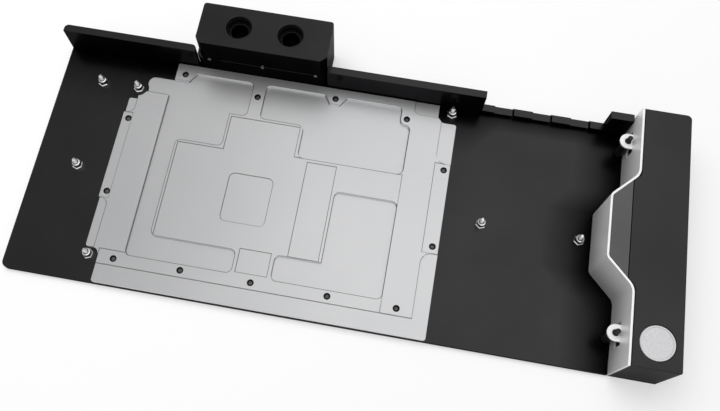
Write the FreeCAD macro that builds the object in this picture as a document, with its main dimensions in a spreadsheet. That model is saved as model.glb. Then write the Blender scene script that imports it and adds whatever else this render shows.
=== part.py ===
import FreeCAD, Part
import os
import Sketcher

# Graphics-card water block: a liquid-cooled backplate that lies on its outer face.
# +X runs along the card towards the end bar, +Y towards the coolant terminal, +Z is up.
# The origin is the centre of the footprint, on the outer face of the backplate.

doc = FreeCAD.newDocument("gpu_water_block")

# Driving dimensions in millimetres
DRIVING_SIZES = {
    # Backplate
    "plate_length": 304.2,
    "plate_depth": 131.7,
    "plate_thickness": 3.0,
    "plate_front_radius": 3.5,
    "flange_height": 20.7,
    "flange_thickness": 4.0,
    "flange_corner_radius": 2.4,
    "flange_end": 227.9,
    "low_wall_height": 6.3,
    "low_wall_drop": 0.9,
    "comb_first_gap": 16.2,
    "comb_pitch": 20.3,
    "comb_gap": 0.8,
    "comb_skin": 0.8,
    "comb_drop_length": 9.6,
    "comb_segments": 3,
    "tall_wall_length": 11.9,
    "tab_length": 18.2,
    "tab_front_margin": 8.0,
    "tab_back_margin": 8.0,
    # Place of the processor centre, which the cold plate and the screws are laid out from
    "die_from_left": 114.6,
    "die_from_front": 56.2,
    # Cold plate outline, measured from the processor centre
    "cold_top": 2.6,
    "cold_left": 74.9,
    "cold_right": 100.9,
    "cold_front": 55.9,
    "cold_back": 70.9,
    "cold_bump": 0.6,
    "front_notch_x": 67.3,
    "front_notch_y": 38.5,
    "shoulder_y": 46.3,
    "shoulder_x": 67.4,
    "back_shelf_y": 61.1,
    "back_tab_x": 53.5,
    "right_notch_x": 90.7,
    "notch_radius": 4.0,
    "outline_radius": 1.2,
    "shelf_radius": 3.5,
    "standoff_relief_radius": 5.3,
    # Cold plate relief, measured from the processor centre
    "margin_left": 70.4,
    "margin_right": 92.7,
    "margin_front": 46.3,
    "margin_step": 0.8,
    "margin_mid_step": 0.3,
    "margin_mid_back": 37.5,
    "margin_mid_front": 11.9,
    "margin_arc_radius": 5.5,
    "margin_left_arc_radius": 4.0,
    "web_step": 0.3,
    "rib_width": 1.4,
    "pocket_depth": 1.8,
    "pocket_back": 66.5,
    "pocket_left": 54.5,
    "pocket_front": 39.7,
    "pocket_top_shelf": 51.4,
    "pocket_core_left": 44.2,
    "pocket_core_front": 27.3,
    "pocket_core_back": 26.9,
    "pocket_lobe_left": 19.6,
    "pocket_lobe_back": 46.2,
    "pocket_toe_right": 0.5,
    "pocket_one_right": 10.3,
    "pocket_two_left": 3.4,
    "pocket_two_step": 20.8,
    "pocket_two_front": 27.6,
    "pocket_two_right": 76.8,
    "pocket_two_neck": 71.1,
    "pocket_two_neck_front": 56.2,
    "pocket_three_back": 12.3,
    "pocket_three_left": 43.8,
    "pocket_three_toe": 20.4,
    "pocket_three_toe_back": 26.4,
    "pocket_radius": 3.0,
    "boss_half_top": 6.0,
    "boss_half_foot": 2.6,
    "boss_reach": 5.1,
    "recess_width": 23.3,
    "recess_depth": 26.6,
    "recess_step": 0.4,
    "recess_radius": 3.0,
    "band_left": 26.8,
    "band_right": 42.4,
    "band_back": 25.9,
    "band_front": 26.2,
    "band_step": 0.25,
    "pad_left": 2.4,
    "pad_right": 18.6,
    "pad_front": 38.6,
    "corner_recess_left": 77.8,
    "corner_recess_front": 63.4,
    "corner_recess_step": 0.5,
    "fin_gap_width": 2.0,
    "fin_gap_height": 1.2,
    "fin_pitch": 4.0,
    "fin_gaps": 13,
    "fin_span": 54.0,
    "fin_first": 24.5,
    "fin_centre_x": 11.3,
    # Cover screws
    "screw_hole_radius": 1.5,
    "screw_mouth": 0.25,
    "screw_radius": 1.4,
    "screw_tip": 0.47,
    "screw_reach": 1.7,
    "screw_head_radius": 2.6,
    "screw_head_height": 1.6,
    "screw_clearance": 0.15,
    "head_clearance": 0.2,
    "socket_radius": 0.9,
    "socket_depth": 0.9,
    # Flow cover in the backplate window
    "window_left": 54.8,
    "window_right": 76.7,
    "window_front": 39.0,
    "window_back": 53.1,
    "window_radius": 5.0,
    "neck_half_width": 30.5,
    "ledge_width": 2.0,
    "ledge_height": 1.4,
    "cover_gap": 0.15,
    "channel_floor": 0.9,
    "channel_width": 8.0,
    "channel_mouth_width": 11.0,
    "channel_outer": 42.3,
    "channel_right_outer": 19.7,
    "channel_front": 25.9,
    "channel_back": 46.1,
    "channel_turn": 37.1,
    "channel_mouth_back": 65.1,
    "channel_radius": 2.0,
    "tunnel_height": 0.9,
    "tunnel_width": 8.0,
    "tunnel_floor": 0.6,
    "seal_width": 1.8,
    "seal_depth": 1.2,
    "seal_margin": 2.0,
    "seal_saddle": 47.5,
    "seal_radius": 1.5,
    # Coolant terminal
    "terminal_width": 69.2,
    "terminal_depth": 24.0,
    "terminal_overhang": 18.9,
    "terminal_offset": 5.7,
    "terminal_top": 33.1,
    "terminal_joint": 16.0,
    "terminal_front_chamfer": 3.1,
    "terminal_back_radius": 1.6,
    "terminal_slot_left_gap": 1.9,
    "terminal_slot_right_gap": 0.2,
    "bridge_setback": 0.7,
    "relief_width": 50.2,
    "relief_top": 26.2,
    "relief_step": 0.8,
    "relief_offset": 1.45,
    "port_spacing": 27.3,
    "port_from_front": 12.4,
    "port_radius": 6.58,
    "port_depth": 5.0,
    "port_mouth": 0.3,
    "port_ledge_radius": 6.0,
    "port_ledge_depth": 11.0,
    "riser_radius": 4.5,
    "port_seal_radius": 6.4,
    "port_seal_cord": 1.6,
    "port_seal_squeeze": 0.3,
    "clamp_screw_radius": 1.5,
    "clamp_head_radius": 2.75,
    "clamp_head_height": 1.9,
    "clamp_engagement": 8.0,
    "clamp_inset_x": 4.6,
    "clamp_inset_y": 4.2,
    "face_screw_pitch": 28.7,
    "face_screw_height": 17.4,
    "face_screw_head_radius": 0.9,
    "face_screw_head_height": 0.5,
    "face_screw_radius": 0.6,
    "face_screw_length": 4.0,
    # End bar, bright strip and name plate
    "bar_width": 24.4,
    "bar_length": 129.4,
    "bar_height": 33.1,
    "bar_nose_radius": 2.5,
    "bar_wall": 2.5,
    "bar_back_radius": 2.4,
    "bar_front_radius": 1.0,
    "bar_edge": 0.4,
    "nose_from_front": 65.0,
    "nose_half": 15.9,
    "nose_reach": 12.8,
    "name_plate_thickness": 3.0,
    "name_plate_setback": 2.4,
    "name_plate_gap": 0.3,
    "strip_thickness": 1.1,
    "strip_bend_radius": 2.5,
    "strip_foot_radius": 6.5,
    "strip_overhang": 0.7,
    "bar_clearance": 0.1,
    "lug_height": 19.0,
    "lug_ring_radius": 4.1,
    "lug_hole_radius": 1.65,
    "lug_reach": 2.1,
    "lug_window_margin": 1.5,
    "lug_window_height": 9.0,
    "lug_front": 17.2,
    "lug_back": 117.1,
    "lug_post_flats": 4.0,
    "lug_stud_radius": 1.25,
    "lug_stud_tip": 0.31,
    "lug_stud_rise": 4.0,
    "lug_stud_engagement": 6.0,
    "badge_radius": 8.2,
    "badge_thickness": 1.2,
    "badge_gap": 0.3,
    "badge_from_right": 11.7,
    "badge_from_front": 12.2,
    "bar_post_radius": 3.5,
    "bar_screw_radius": 1.5,
    "bar_screw_head_radius": 2.8,
    "bar_screw_head_height": 1.6,
    "bar_screw_engagement": 7.0,
    "bar_screw_inset": 10.0,
    "bar_screw_first": 16.0,
    "bar_screw_pitch": 32.3,
    # Standoffs that the circuit board sits on
    "standoff_flats": 5.0,
    "standoff_hex_height": 1.9,
    "standoff_neck_radius": 1.3,
    "standoff_neck_height": 1.0,
    "standoff_collar_radius": 2.0,
    "standoff_collar_height": 1.7,
    "standoff_stud_radius": 1.2,
    "standoff_tip": 0.3,
    "standoff_stud_height": 3.5,
    "standoff_root_radius": 1.25,
    "standoff_root_length": 2.0,
    "fit_gap": 0.1,
    "cut_overrun": 1.0,
}

# Screw places from the processor centre, one pair of cells for each cover screw
COVER_SCREW_PLACES = [
    (-72.2, 34.0), (-72.2, -8.2), (-59.1, -42.8), (-24.7, -42.8), (11.3, -42.8),
    (50.0, -42.8), (84.6, -42.8), (97.7, -8.2), (97.7, 34.0), (74.4, 59.5),
    (34.8, 64.7), (-6.8, 58.3), (-48.3, 64.8),
]

# Standoff places from the processor centre, one pair of cells for each standoff
STANDOFF_PLACES = [
    (-91.5, 53.1), (-71.6, 53.1), (-91.7, 3.7), (-72.8, -42.2),
    (97.8, 67.6), (120.4, 8.6), (170.4, 8.6),
]

for number, (across, along) in enumerate(COVER_SCREW_PLACES, start=1):
    DRIVING_SIZES[f"cover_screw_{number}_x"] = across
    DRIVING_SIZES[f"cover_screw_{number}_y"] = along
for number, (across, along) in enumerate(STANDOFF_PLACES, start=1):
    DRIVING_SIZES[f"standoff_{number}_x"] = across
    DRIVING_SIZES[f"standoff_{number}_y"] = along

sizes = doc.addObject("Spreadsheet::Sheet", "Sizes")
for row, (alias, size) in enumerate(DRIVING_SIZES.items(), start=1):
    sizes.set(f"A{row}", alias)
    sizes.set(f"B{row}", str(size))
    sizes.setAlias(f"B{row}", alias)

# Datum planes that follow from the driving dimensions
DATUMS = {
    "left_edge": "-(Sizes.plate_length + Sizes.bar_width) / 2",
    "front_edge": "-(Sizes.plate_depth + Sizes.terminal_overhang) / 2",
    "bar_face": "left_edge + Sizes.plate_length",
    "right_edge": "bar_face + Sizes.bar_width",
    "flange_back": "front_edge + Sizes.plate_depth",
    "flange_front": "flange_back - Sizes.flange_thickness",
    "die_x": "left_edge + Sizes.die_from_left",
    "die_y": "front_edge + Sizes.die_from_front",
    "terminal_x": "die_x - Sizes.terminal_offset",
    "terminal_back": "flange_back + Sizes.terminal_overhang",
    "terminal_front": "terminal_back - Sizes.terminal_depth",
    "terminal_left": "terminal_x - Sizes.terminal_width / 2",
    "terminal_right": "terminal_x + Sizes.terminal_width / 2",
    "port_y": "terminal_front + Sizes.port_from_front",
    "port_left_x": "terminal_x - Sizes.port_spacing / 2",
    "port_right_x": "terminal_x + Sizes.port_spacing / 2",
    "slot_left": "terminal_left - Sizes.terminal_slot_left_gap",
    "slot_right": "terminal_right + Sizes.terminal_slot_right_gap",
    "flange_end_x": "left_edge + Sizes.flange_end",
    "tall_wall_x": "bar_face - Sizes.tall_wall_length",
    "bar_back": "front_edge + Sizes.bar_length",
    "nose_y": "front_edge + Sizes.nose_from_front",
    "nose_face": "bar_face - Sizes.nose_reach",
}
datums = doc.addObject("Spreadsheet::Sheet", "Datums")
for row, (alias, rule) in enumerate(DATUMS.items(), start=1):
    datums.set(f"A{row}", alias)
    datums.set(f"B{row}", "=" + rule)
    datums.setAlias(f"B{row}", alias)
doc.recompute()


def value(rule):
    """The number that an expression comes to with the sheet as it stands."""
    result = sizes.evalExpression(rule)
    return float(getattr(result, "Value", result))


def new_body(label, x="0", y="0", z="0"):
    """A body whose own origin is placed by three expressions."""
    body = doc.addObject("PartDesign::Body", label)
    body.Label = label
    for axis, rule in zip("xyz", (x, y, z)):
        body.setExpression(f"Placement.Base.{axis}", rule)
    return body


def new_sketch(body, name, level="0", role="XY_Plane"):
    """A sketch parallel to one of the body's origin planes, raised by level."""
    sketch = body.newObject("Sketcher::SketchObject", name)
    plane = [feature for feature in body.Origin.OriginFeatures if feature.Role == role][0]
    sketch.AttachmentSupport = [(plane, "")]
    sketch.MapMode = "FlatFace"
    sketch.setExpression("AttachmentOffset.Base.z", level)
    return sketch


def pin_point(sketch, element, end, x, y):
    """Tie one end of a sketch element to a place given by two expressions."""
    kinds = (("DistanceX", x), ("DistanceY", y))
    first = sketch.ConstraintCount
    sketch.addConstraint([Sketcher.Constraint(kind, -1, 1, element, end, value(rule))
                          for kind, rule in kinds])
    for index, (kind, rule) in enumerate(kinds, start=first):
        sketch.setExpression(f"Constraints[{index}]", rule)


def towards(corner, other, radius):
    """The place on the straight side from corner to other that lies radius from the corner."""
    place = []
    for rule, target in zip(corner, other):
        step = value(target) - value(rule)
        place.append(rule if abs(step) < 1e-6 else f"{rule} {'+' if step > 0 else '-'} ({radius})")
    return tuple(place)


def add_polygon(sketch, corners, radius=None, sharp=()):
    """A closed outline through corners, each a pair of expressions.

    With a radius, every corner between two sides square to the axes is rounded by it, but for
    the sharp ones, which are named by their number in the list.
    """
    count = len(corners)
    rounded = [radius is not None and index not in sharp for index in range(count)]
    arrivals = [towards(corners[index], corners[index - 1], radius) if rounded[index]
                else corners[index] for index in range(count)]
    leavings = [towards(corners[index], corners[(index + 1) % count], radius) if rounded[index]
                else corners[index] for index in range(count)]
    spots = {rules: FreeCAD.Vector(value(rules[0]), value(rules[1]), 0)
             for rules in arrivals + leavings}
    first = sketch.GeometryCount
    for index in range(count):
        start, end = leavings[index], arrivals[(index + 1) % count]
        sketch.addGeometry(Part.LineSegment(spots[start], spots[end]), False)
        pin_point(sketch, first + index, 1, *start)
    for index in range(count):
        arriving = first + index - 1 if index else first + count - 1
        if not rounded[index]:
            sketch.addConstraint(Sketcher.Constraint("Coincident", arriving, 2, first + index, 1))
            continue
        pin_point(sketch, arriving, 2, *arrivals[index])
        corner = FreeCAD.Vector(value(corners[index][0]), value(corners[index][1]), 0)
        start, end = spots[arrivals[index]], spots[leavings[index]]
        centre = start + end - corner
        bulge = centre + (corner - centre).normalize() * value(radius)
        arc = Part.ArcOfCircle(start, bulge, end)
        if arc.Axis.z < 0:
            arc = Part.ArcOfCircle(end, bulge, start)
        turned = (arc.StartPoint - start).Length > 1e-6
        element = sketch.addGeometry(arc, False)
        sketch.addConstraint([
            Sketcher.Constraint("Coincident", arriving, 2, element, 2 if turned else 1),
            Sketcher.Constraint("Coincident", first + index, 1, element, 1 if turned else 2),
            Sketcher.Constraint("Radius", element, value(radius))])
        sketch.setExpression(f"Constraints[{sketch.ConstraintCount - 1}]", radius)


def add_rectangle(sketch, left, front, right, back):
    """A closed rectangle between four expressions."""
    add_polygon(sketch, [(left, front), (right, front), (right, back), (left, back)])


def add_circle(sketch, x, y, radius):
    """A circle at a place and of a radius given by expressions."""
    centre = FreeCAD.Vector(value(x), value(y), 0)
    circle = Part.Circle(centre, FreeCAD.Vector(0, 0, 1), value(radius))
    element = sketch.addGeometry(circle, False)
    pin_point(sketch, element, 3, x, y)
    index = sketch.addConstraint(Sketcher.Constraint("Radius", element, value(radius)))
    sketch.setExpression(f"Constraints[{index}]", radius)


def add_hexagon(sketch, flats):
    """A hexagon about the sketch origin with two flats square to X."""
    half = f"({flats}) / 2"
    side = f"({flats}) / 2 * tan(30 deg)"
    tip = f"({flats}) / 2 / cos(30 deg)"
    add_polygon(sketch, [(half, f"-({side})"), (half, side), ("0", tip),
                         (f"-({half})", side), (f"-({half})", f"-({side})"), ("0", f"-({tip})")])


def finish_feature(body, feature, sketch):
    """Take a feature's sketch out of view and make the feature the body's tip."""
    sketch.Visibility = False
    body.Tip = feature
    doc.recompute()
    return feature


def pad(body, sketch, length, downward=False):
    """Add material from a sketch, upwards unless told otherwise."""
    feature = body.newObject("PartDesign::Pad", sketch.Name + "_pad")
    feature.Profile = sketch
    feature.setExpression("Length", length)
    feature.Reversed = downward
    return finish_feature(body, feature, sketch)


def pocket(body, sketch, depth, upward=False):
    """Cut material from a sketch, downwards unless told otherwise."""
    feature = body.newObject("PartDesign::Pocket", sketch.Name + "_pocket")
    feature.Profile = sketch
    feature.setExpression("Length", depth)
    feature.Reversed = upward
    return finish_feature(body, feature, sketch)


def upright_edges(shape, corners):
    """Names of the straight upright edges that stand at the given corners."""
    spots = [(value(x), value(y)) for x, y in corners]
    names = []
    for index, edge in enumerate(shape.Edges, start=1):
        if len(edge.Vertexes) != 2:
            continue
        low, high = (vertex.Point for vertex in edge.Vertexes)
        upright = abs(low.x - high.x) < 1e-6 and abs(low.y - high.y) < 1e-6
        if upright and any(abs(low.x - x) < 1e-4 and abs(low.y - y) < 1e-4 for x, y in spots):
            names.append(f"Edge{index}")
    return names


def round_uprights(body, corners, radius):
    """Round the upright edges of the body's tip at the given corners."""
    base = body.Tip
    feature = body.newObject("PartDesign::Fillet", "upright_rounding")
    feature.Base = (base, upright_edges(base.Shape, corners))
    feature.setExpression("Radius", radius)
    body.Tip = feature
    doc.recompute()
    return feature


def rounded_pocket(body, name, level, corners, depth, radius, sharp=()):
    """Cut a pocket from an outline whose upright corners are rounded, but for the sharp ones."""
    sketch = new_sketch(body, name, level)
    add_polygon(sketch, corners, radius, sharp)
    return pocket(body, sketch, depth)


def at_die(x, y):
    """A place given from the processor centre, as expressions in the part's frame."""
    return f"Datums.die_x + ({x})", f"Datums.die_y + ({y})"


def window_outline(inset):
    """The backplate window with its neck, drawn in from its edge by inset."""
    left, front = at_die(f"-Sizes.window_left + {inset}", f"-Sizes.window_front + {inset}")
    right, back = at_die(f"Sizes.window_right - ({inset})", f"Sizes.window_back - ({inset})")
    neck_left = f"Datums.terminal_x - Sizes.neck_half_width + {inset}"
    neck_right = f"Datums.terminal_x + Sizes.neck_half_width - ({inset})"
    mouth = "Datums.flange_back"
    return [(left, front), (right, front), (right, back), (neck_right, back),
            (neck_right, mouth), (neck_left, mouth), (neck_left, back), (left, back)]


WINDOW_MOUTH = (4, 5)

COVER_SCREWS = [at_die(f"Sizes.cover_screw_{number}_x", f"Sizes.cover_screw_{number}_y")
                for number in range(1, len(COVER_SCREW_PLACES) + 1)]
NECK_SCREW = COVER_SCREWS[11]
PLATE_SCREWS = [spot for spot in COVER_SCREWS if spot != NECK_SCREW]
STANDOFFS = [at_die(f"Sizes.standoff_{number}_x", f"Sizes.standoff_{number}_y")
             for number in range(1, len(STANDOFF_PLACES) + 1)]
LUGS = [("Datums.bar_face - Sizes.lug_reach", f"Datums.front_edge + {along}")
        for along in ("Sizes.lug_front", "Sizes.lug_back")]
BAR_SCREWS = [("Datums.bar_face + Sizes.bar_screw_inset",
               f"Datums.front_edge + Sizes.bar_screw_first + {step} * Sizes.bar_screw_pitch")
              for step in range(4)]
CLAMP_SCREWS = [(x, y)
                for x in ("Datums.terminal_left + Sizes.clamp_inset_x",
                          "Datums.terminal_right - Sizes.clamp_inset_x")
                for y in ("Datums.flange_back + Sizes.clamp_inset_y",
                          "Datums.terminal_back - Sizes.clamp_inset_y")]
PORTS = [("Datums.port_left_x", "Datums.port_y"), ("Datums.port_right_x", "Datums.port_y")]


def drill(body, name, level, spots, radius, depth, upward=False):
    """Straight holes of one radius at several places."""
    sketch = new_sketch(body, name, level)
    for x, y in spots:
        add_circle(sketch, x, y, radius)
    return pocket(body, sketch, depth, upward)


def round_posts(body, name, level, spots, radius, height):
    """Round posts of one radius at several places."""
    sketch = new_sketch(body, name, level)
    for x, y in spots:
        add_circle(sketch, x, y, radius)
    return pad(body, sketch, height)


def chamfer_edges(body, names, size):
    """Chamfer the named edges of the body's tip."""
    base = body.Tip
    feature = body.newObject("PartDesign::Chamfer", "edge_chamfer")
    feature.Base = (base, names)
    feature.setExpression("Size", size)
    body.Tip = feature
    doc.recompute()
    return feature


def level_edges(shape, height, wanted=lambda edge: True):
    """Names of the edges that lie in the level plane at a height and pass a test."""
    names = []
    for index, edge in enumerate(shape.Edges, start=1):
        box = edge.BoundBox
        if abs(box.ZMin - height) < 1e-4 and abs(box.ZMax - height) < 1e-4 and wanted(edge):
            names.append(f"Edge{index}")
    return names


def ring_of_radius(radius):
    """A test for round edges of one radius."""
    return lambda edge: hasattr(edge.Curve, "Radius") and abs(edge.Curve.Radius - radius) < 1e-4


# Backplate: a plate milled from one billet, with the back flange, the comb wall that clears the
# power plugs and the window that the flow cover drops into from the inner side.
backplate = new_body("backplate")
outline = new_sketch(backplate, "plate_outline")
plate_end = "Datums.bar_face - Sizes.bar_clearance"
tab_end = "Datums.bar_face + Sizes.tab_length"
tab_front = "Datums.front_edge + Sizes.tab_front_margin"
tab_back = "Datums.bar_back - Sizes.tab_back_margin"
add_polygon(outline, [
    ("Datums.left_edge", "Datums.front_edge"), (plate_end, "Datums.front_edge"),
    (plate_end, tab_front), (tab_end, tab_front), (tab_end, tab_back), (plate_end, tab_back),
    (plate_end, "Datums.flange_back"), ("Datums.left_edge", "Datums.flange_back")])
pad(backplate, outline, "Sizes.plate_thickness")
round_uprights(backplate, [("Datums.left_edge", "Datums.front_edge")], "Sizes.plate_front_radius")

FLANGE_STRETCHES = [
    ("flange_left", "Datums.left_edge", "Datums.slot_left", "Sizes.flange_height"),
    ("flange_right", "Datums.slot_right", "Datums.flange_end_x", "Sizes.flange_height"),
    ("comb_wall", "Datums.flange_end_x", "Datums.tall_wall_x", "Sizes.low_wall_height"),
    ("tall_wall", "Datums.tall_wall_x", plate_end, "Sizes.flange_height"),
]
for name, start, end, height in FLANGE_STRETCHES:
    stretch = new_sketch(backplate, name)
    add_rectangle(stretch, start, "Datums.flange_front", end, "Datums.flange_back")
    pad(backplate, stretch, height)
round_uprights(backplate, [("Datums.left_edge", "Datums.flange_back"),
                           ("Datums.slot_left", "Datums.flange_back")],
               "Sizes.flange_corner_radius")

comb_drops = new_sketch(backplate, "comb_drops", "Sizes.low_wall_height")
comb_gaps = new_sketch(backplate, "comb_gaps", "Sizes.low_wall_height")
for step in range(int(DRIVING_SIZES["comb_segments"])):
    gap = f"Datums.flange_end_x + Sizes.comb_first_gap + {step} * Sizes.comb_pitch"
    add_rectangle(comb_drops, f"{gap} - Sizes.comb_drop_length", "Datums.flange_front",
                  gap, "Datums.flange_back")
    add_rectangle(comb_gaps, gap, "Datums.flange_front",
                  f"{gap} + Sizes.comb_gap", "Datums.flange_back - Sizes.comb_skin")
pocket(backplate, comb_drops, "Sizes.low_wall_drop")
pocket(backplate, comb_gaps, "Sizes.low_wall_height - Sizes.plate_thickness")

rounded_pocket(backplate, "window", "Sizes.plate_thickness", window_outline("0"),
               "Sizes.plate_thickness - Sizes.ledge_height", "Sizes.window_radius", WINDOW_MOUTH)
rounded_pocket(backplate, "window_ledge", "Sizes.ledge_height",
               window_outline("Sizes.ledge_width"),
               "Sizes.ledge_height", "Sizes.window_radius - Sizes.ledge_width", WINDOW_MOUTH)
drill(backplate, "cover_screw_holes", "Sizes.plate_thickness", PLATE_SCREWS,
      "Sizes.screw_radius + Sizes.screw_clearance", "Sizes.plate_thickness")
drill(backplate, "cover_screw_heads", "0", PLATE_SCREWS,
      "Sizes.screw_head_radius + Sizes.head_clearance",
      "Sizes.screw_head_height + Sizes.fit_gap", upward=True)
drill(backplate, "standoff_holes", "Sizes.plate_thickness", STANDOFFS + LUGS,
      "Sizes.standoff_root_radius + Sizes.fit_gap", "Sizes.standoff_root_length + Sizes.fit_gap")
drill(backplate, "bar_screw_holes", "Sizes.plate_thickness", BAR_SCREWS,
      "Sizes.bar_screw_radius + Sizes.screw_clearance", "Sizes.plate_thickness")
drill(backplate, "bar_screw_heads", "0", BAR_SCREWS,
      "Sizes.bar_screw_head_radius + Sizes.head_clearance",
      "Sizes.bar_screw_head_height + Sizes.fit_gap", upward=True)

# Cold plate: nickel-plated copper, milled on both sides. Its inner face is stepped to suit the
# parts on the back of the circuit board, and its lower face carries the coolant fins.
cold_plate = new_body("cold_plate", "Datums.die_x", "Datums.die_y", "Sizes.plate_thickness")
cold_outline = new_sketch(cold_plate, "cold_outline")
left_margin = "-Sizes.cold_left"
bump_edge = "-(Sizes.cold_left + Sizes.cold_bump)"
add_polygon(cold_outline, [
    ("-Sizes.front_notch_x", "-Sizes.cold_front"),
    ("Sizes.cold_right", "-Sizes.cold_front"),
    ("Sizes.cold_right", "Sizes.back_shelf_y"),
    ("Sizes.right_notch_x", "Sizes.back_shelf_y"),
    ("Sizes.right_notch_x", "Sizes.cold_back"),
    ("-Sizes.back_tab_x", "Sizes.cold_back"),
    ("-Sizes.back_tab_x", "Sizes.back_shelf_y"),
    ("-Sizes.shoulder_x", "Sizes.back_shelf_y"),
    ("-Sizes.shoulder_x", "Sizes.standoff_2_y"),
    ("-Sizes.margin_left", "Sizes.standoff_2_y"),
    ("-Sizes.margin_left", "Sizes.shoulder_y"),
    (left_margin, "Sizes.shoulder_y"),
    (left_margin, "Sizes.margin_mid_back"),
    (bump_edge, "Sizes.margin_mid_back"),
    (bump_edge, "-Sizes.margin_mid_front"),
    (left_margin, "-Sizes.margin_mid_front"),
    (left_margin, "-Sizes.front_notch_y"),
    ("-Sizes.front_notch_x", "-Sizes.front_notch_y")])
pad(cold_plate, cold_outline, "Sizes.cold_top")
drill(cold_plate, "standoff_relief", "Sizes.cold_top", [("Sizes.standoff_2_x", "Sizes.standoff_2_y")],
      "Sizes.standoff_relief_radius", "Sizes.cold_top")
round_uprights(cold_plate, [("Sizes.right_notch_x", "Sizes.back_shelf_y"),
                            ("-Sizes.front_notch_x", "-Sizes.front_notch_y")],
               "Sizes.notch_radius")
round_uprights(cold_plate, [("-Sizes.shoulder_x", "Sizes.back_shelf_y")], "Sizes.shelf_radius")
round_uprights(cold_plate, [("-Sizes.front_notch_x", "-Sizes.cold_front"),
                            ("Sizes.cold_right", "-Sizes.cold_front"),
                            ("Sizes.cold_right", "Sizes.back_shelf_y"),
                            ("-Sizes.back_tab_x", "Sizes.cold_back"),
                            (left_margin, "Sizes.shoulder_y"),
                            (left_margin, "-Sizes.front_notch_y")], "Sizes.outline_radius")

# Outer margins of the cold plate, cut away as far as the ears round the side screws
outside = "(Sizes.cold_right + Sizes.cold_left)"
beyond = "(Sizes.cold_back + Sizes.cold_front)"
past_shelf = "Sizes.back_shelf_y + Sizes.cut_overrun"
past_shoulder = "Sizes.shoulder_y + Sizes.cut_overrun"
rounded_pocket(cold_plate, "margin_right_back", "Sizes.cold_top",
               [("Sizes.margin_right", "Sizes.margin_mid_back"),
                (outside, "Sizes.margin_mid_back"), (outside, past_shelf),
                ("Sizes.margin_right", past_shelf)],
               "Sizes.margin_step", "Sizes.margin_arc_radius", (1, 2, 3))
rounded_pocket(cold_plate, "margin_front", "Sizes.cold_top",
               [("Sizes.margin_right", "-Sizes.margin_mid_front"),
                ("Sizes.margin_right", "-Sizes.margin_front"),
                (f"-{outside}", "-Sizes.margin_front"), (f"-{outside}", f"-{beyond}"),
                (outside, f"-{beyond}"), (outside, "-Sizes.margin_mid_front")],
               "Sizes.margin_step", "Sizes.margin_arc_radius", (1, 2, 3, 4, 5))
rounded_pocket(cold_plate, "margin_left_back", "Sizes.cold_top",
               [("-Sizes.margin_left", "Sizes.margin_mid_back"),
                ("-Sizes.margin_left", past_shoulder),
                (f"-{outside}", past_shoulder),
                (f"-{outside}", "Sizes.margin_mid_back")],
               "Sizes.margin_step", "Sizes.margin_left_arc_radius", (1, 2, 3))
rounded_pocket(cold_plate, "margin_left_front", "Sizes.cold_top",
               [("-Sizes.margin_left", "-Sizes.margin_mid_front"),
                (f"-{outside}", "-Sizes.margin_mid_front"),
                (f"-{outside}", "-Sizes.front_notch_y"),
                ("-Sizes.margin_left", "-Sizes.front_notch_y")],
               "Sizes.margin_step", "Sizes.margin_left_arc_radius", (1, 2, 3))
mid_margins = new_sketch(cold_plate, "mid_margins", "Sizes.cold_top")
add_rectangle(mid_margins, "Sizes.margin_right", "-Sizes.margin_mid_front",
              outside, "Sizes.margin_mid_back")
add_rectangle(mid_margins, f"-{outside}", "-Sizes.margin_mid_front",
              "-Sizes.margin_left", "Sizes.margin_mid_back")
pocket(cold_plate, mid_margins, "Sizes.margin_mid_step")

# Web between the pockets, a little below the ribs, the back border and the side strips
web = new_sketch(cold_plate, "web", "Sizes.cold_top")
core_edge = "-(Sizes.pocket_core_left - Sizes.rib_width)"
lobe_edge = "-(Sizes.pocket_lobe_left - Sizes.rib_width)"
add_polygon(web, [
    (core_edge, "Sizes.pocket_core_back - Sizes.rib_width"),
    (lobe_edge, "Sizes.pocket_core_back - Sizes.rib_width"),
    (lobe_edge, "Sizes.pocket_lobe_back - Sizes.rib_width"),
    ("Sizes.pocket_two_step - Sizes.rib_width", "Sizes.pocket_lobe_back - Sizes.rib_width"),
    ("Sizes.pocket_two_step - Sizes.rib_width", "Sizes.pocket_two_front"),
    ("Sizes.pocket_two_right", "Sizes.pocket_two_front"),
    ("Sizes.pocket_two_right", "-Sizes.margin_front"),
    ("-Sizes.front_notch_x", "-Sizes.margin_front"),
    ("-Sizes.front_notch_x", "-Sizes.pad_front"),
    (core_edge, "-Sizes.pad_front")])
pocket(cold_plate, web, "Sizes.web_step")

# Left pocket: it wraps round the processor area from the back shelf to the front toe
rounded_pocket(cold_plate, "left_pocket", "Sizes.cold_top", [
    ("-Sizes.pocket_left", "-Sizes.pocket_front"),
    ("Sizes.pocket_toe_right", "-Sizes.pocket_front"),
    ("Sizes.pocket_toe_right", "-Sizes.pocket_core_front"),
    ("-Sizes.pocket_core_left", "-Sizes.pocket_core_front"),
    ("-Sizes.pocket_core_left", "Sizes.pocket_core_back"),
    ("-Sizes.pocket_lobe_left", "Sizes.pocket_core_back"),
    ("-Sizes.pocket_lobe_left", "Sizes.pocket_lobe_back"),
    ("-Sizes.pocket_one_right", "Sizes.pocket_lobe_back"),
    ("-Sizes.pocket_one_right", "Sizes.pocket_back"),
    ("Sizes.cover_screw_13_x + Sizes.boss_half_top", "Sizes.pocket_back"),
    ("Sizes.cover_screw_13_x + Sizes.boss_half_foot", "Sizes.back_shelf_y + Sizes.fit_gap"),
    (f"-{outside}", "Sizes.back_shelf_y + Sizes.fit_gap"),
    (f"-{outside}", "Sizes.pocket_top_shelf"),
    ("-Sizes.pocket_left", "Sizes.pocket_top_shelf")],
    "Sizes.pocket_depth", "Sizes.pocket_radius", (6, 9, 10, 11, 12, 13))

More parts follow.
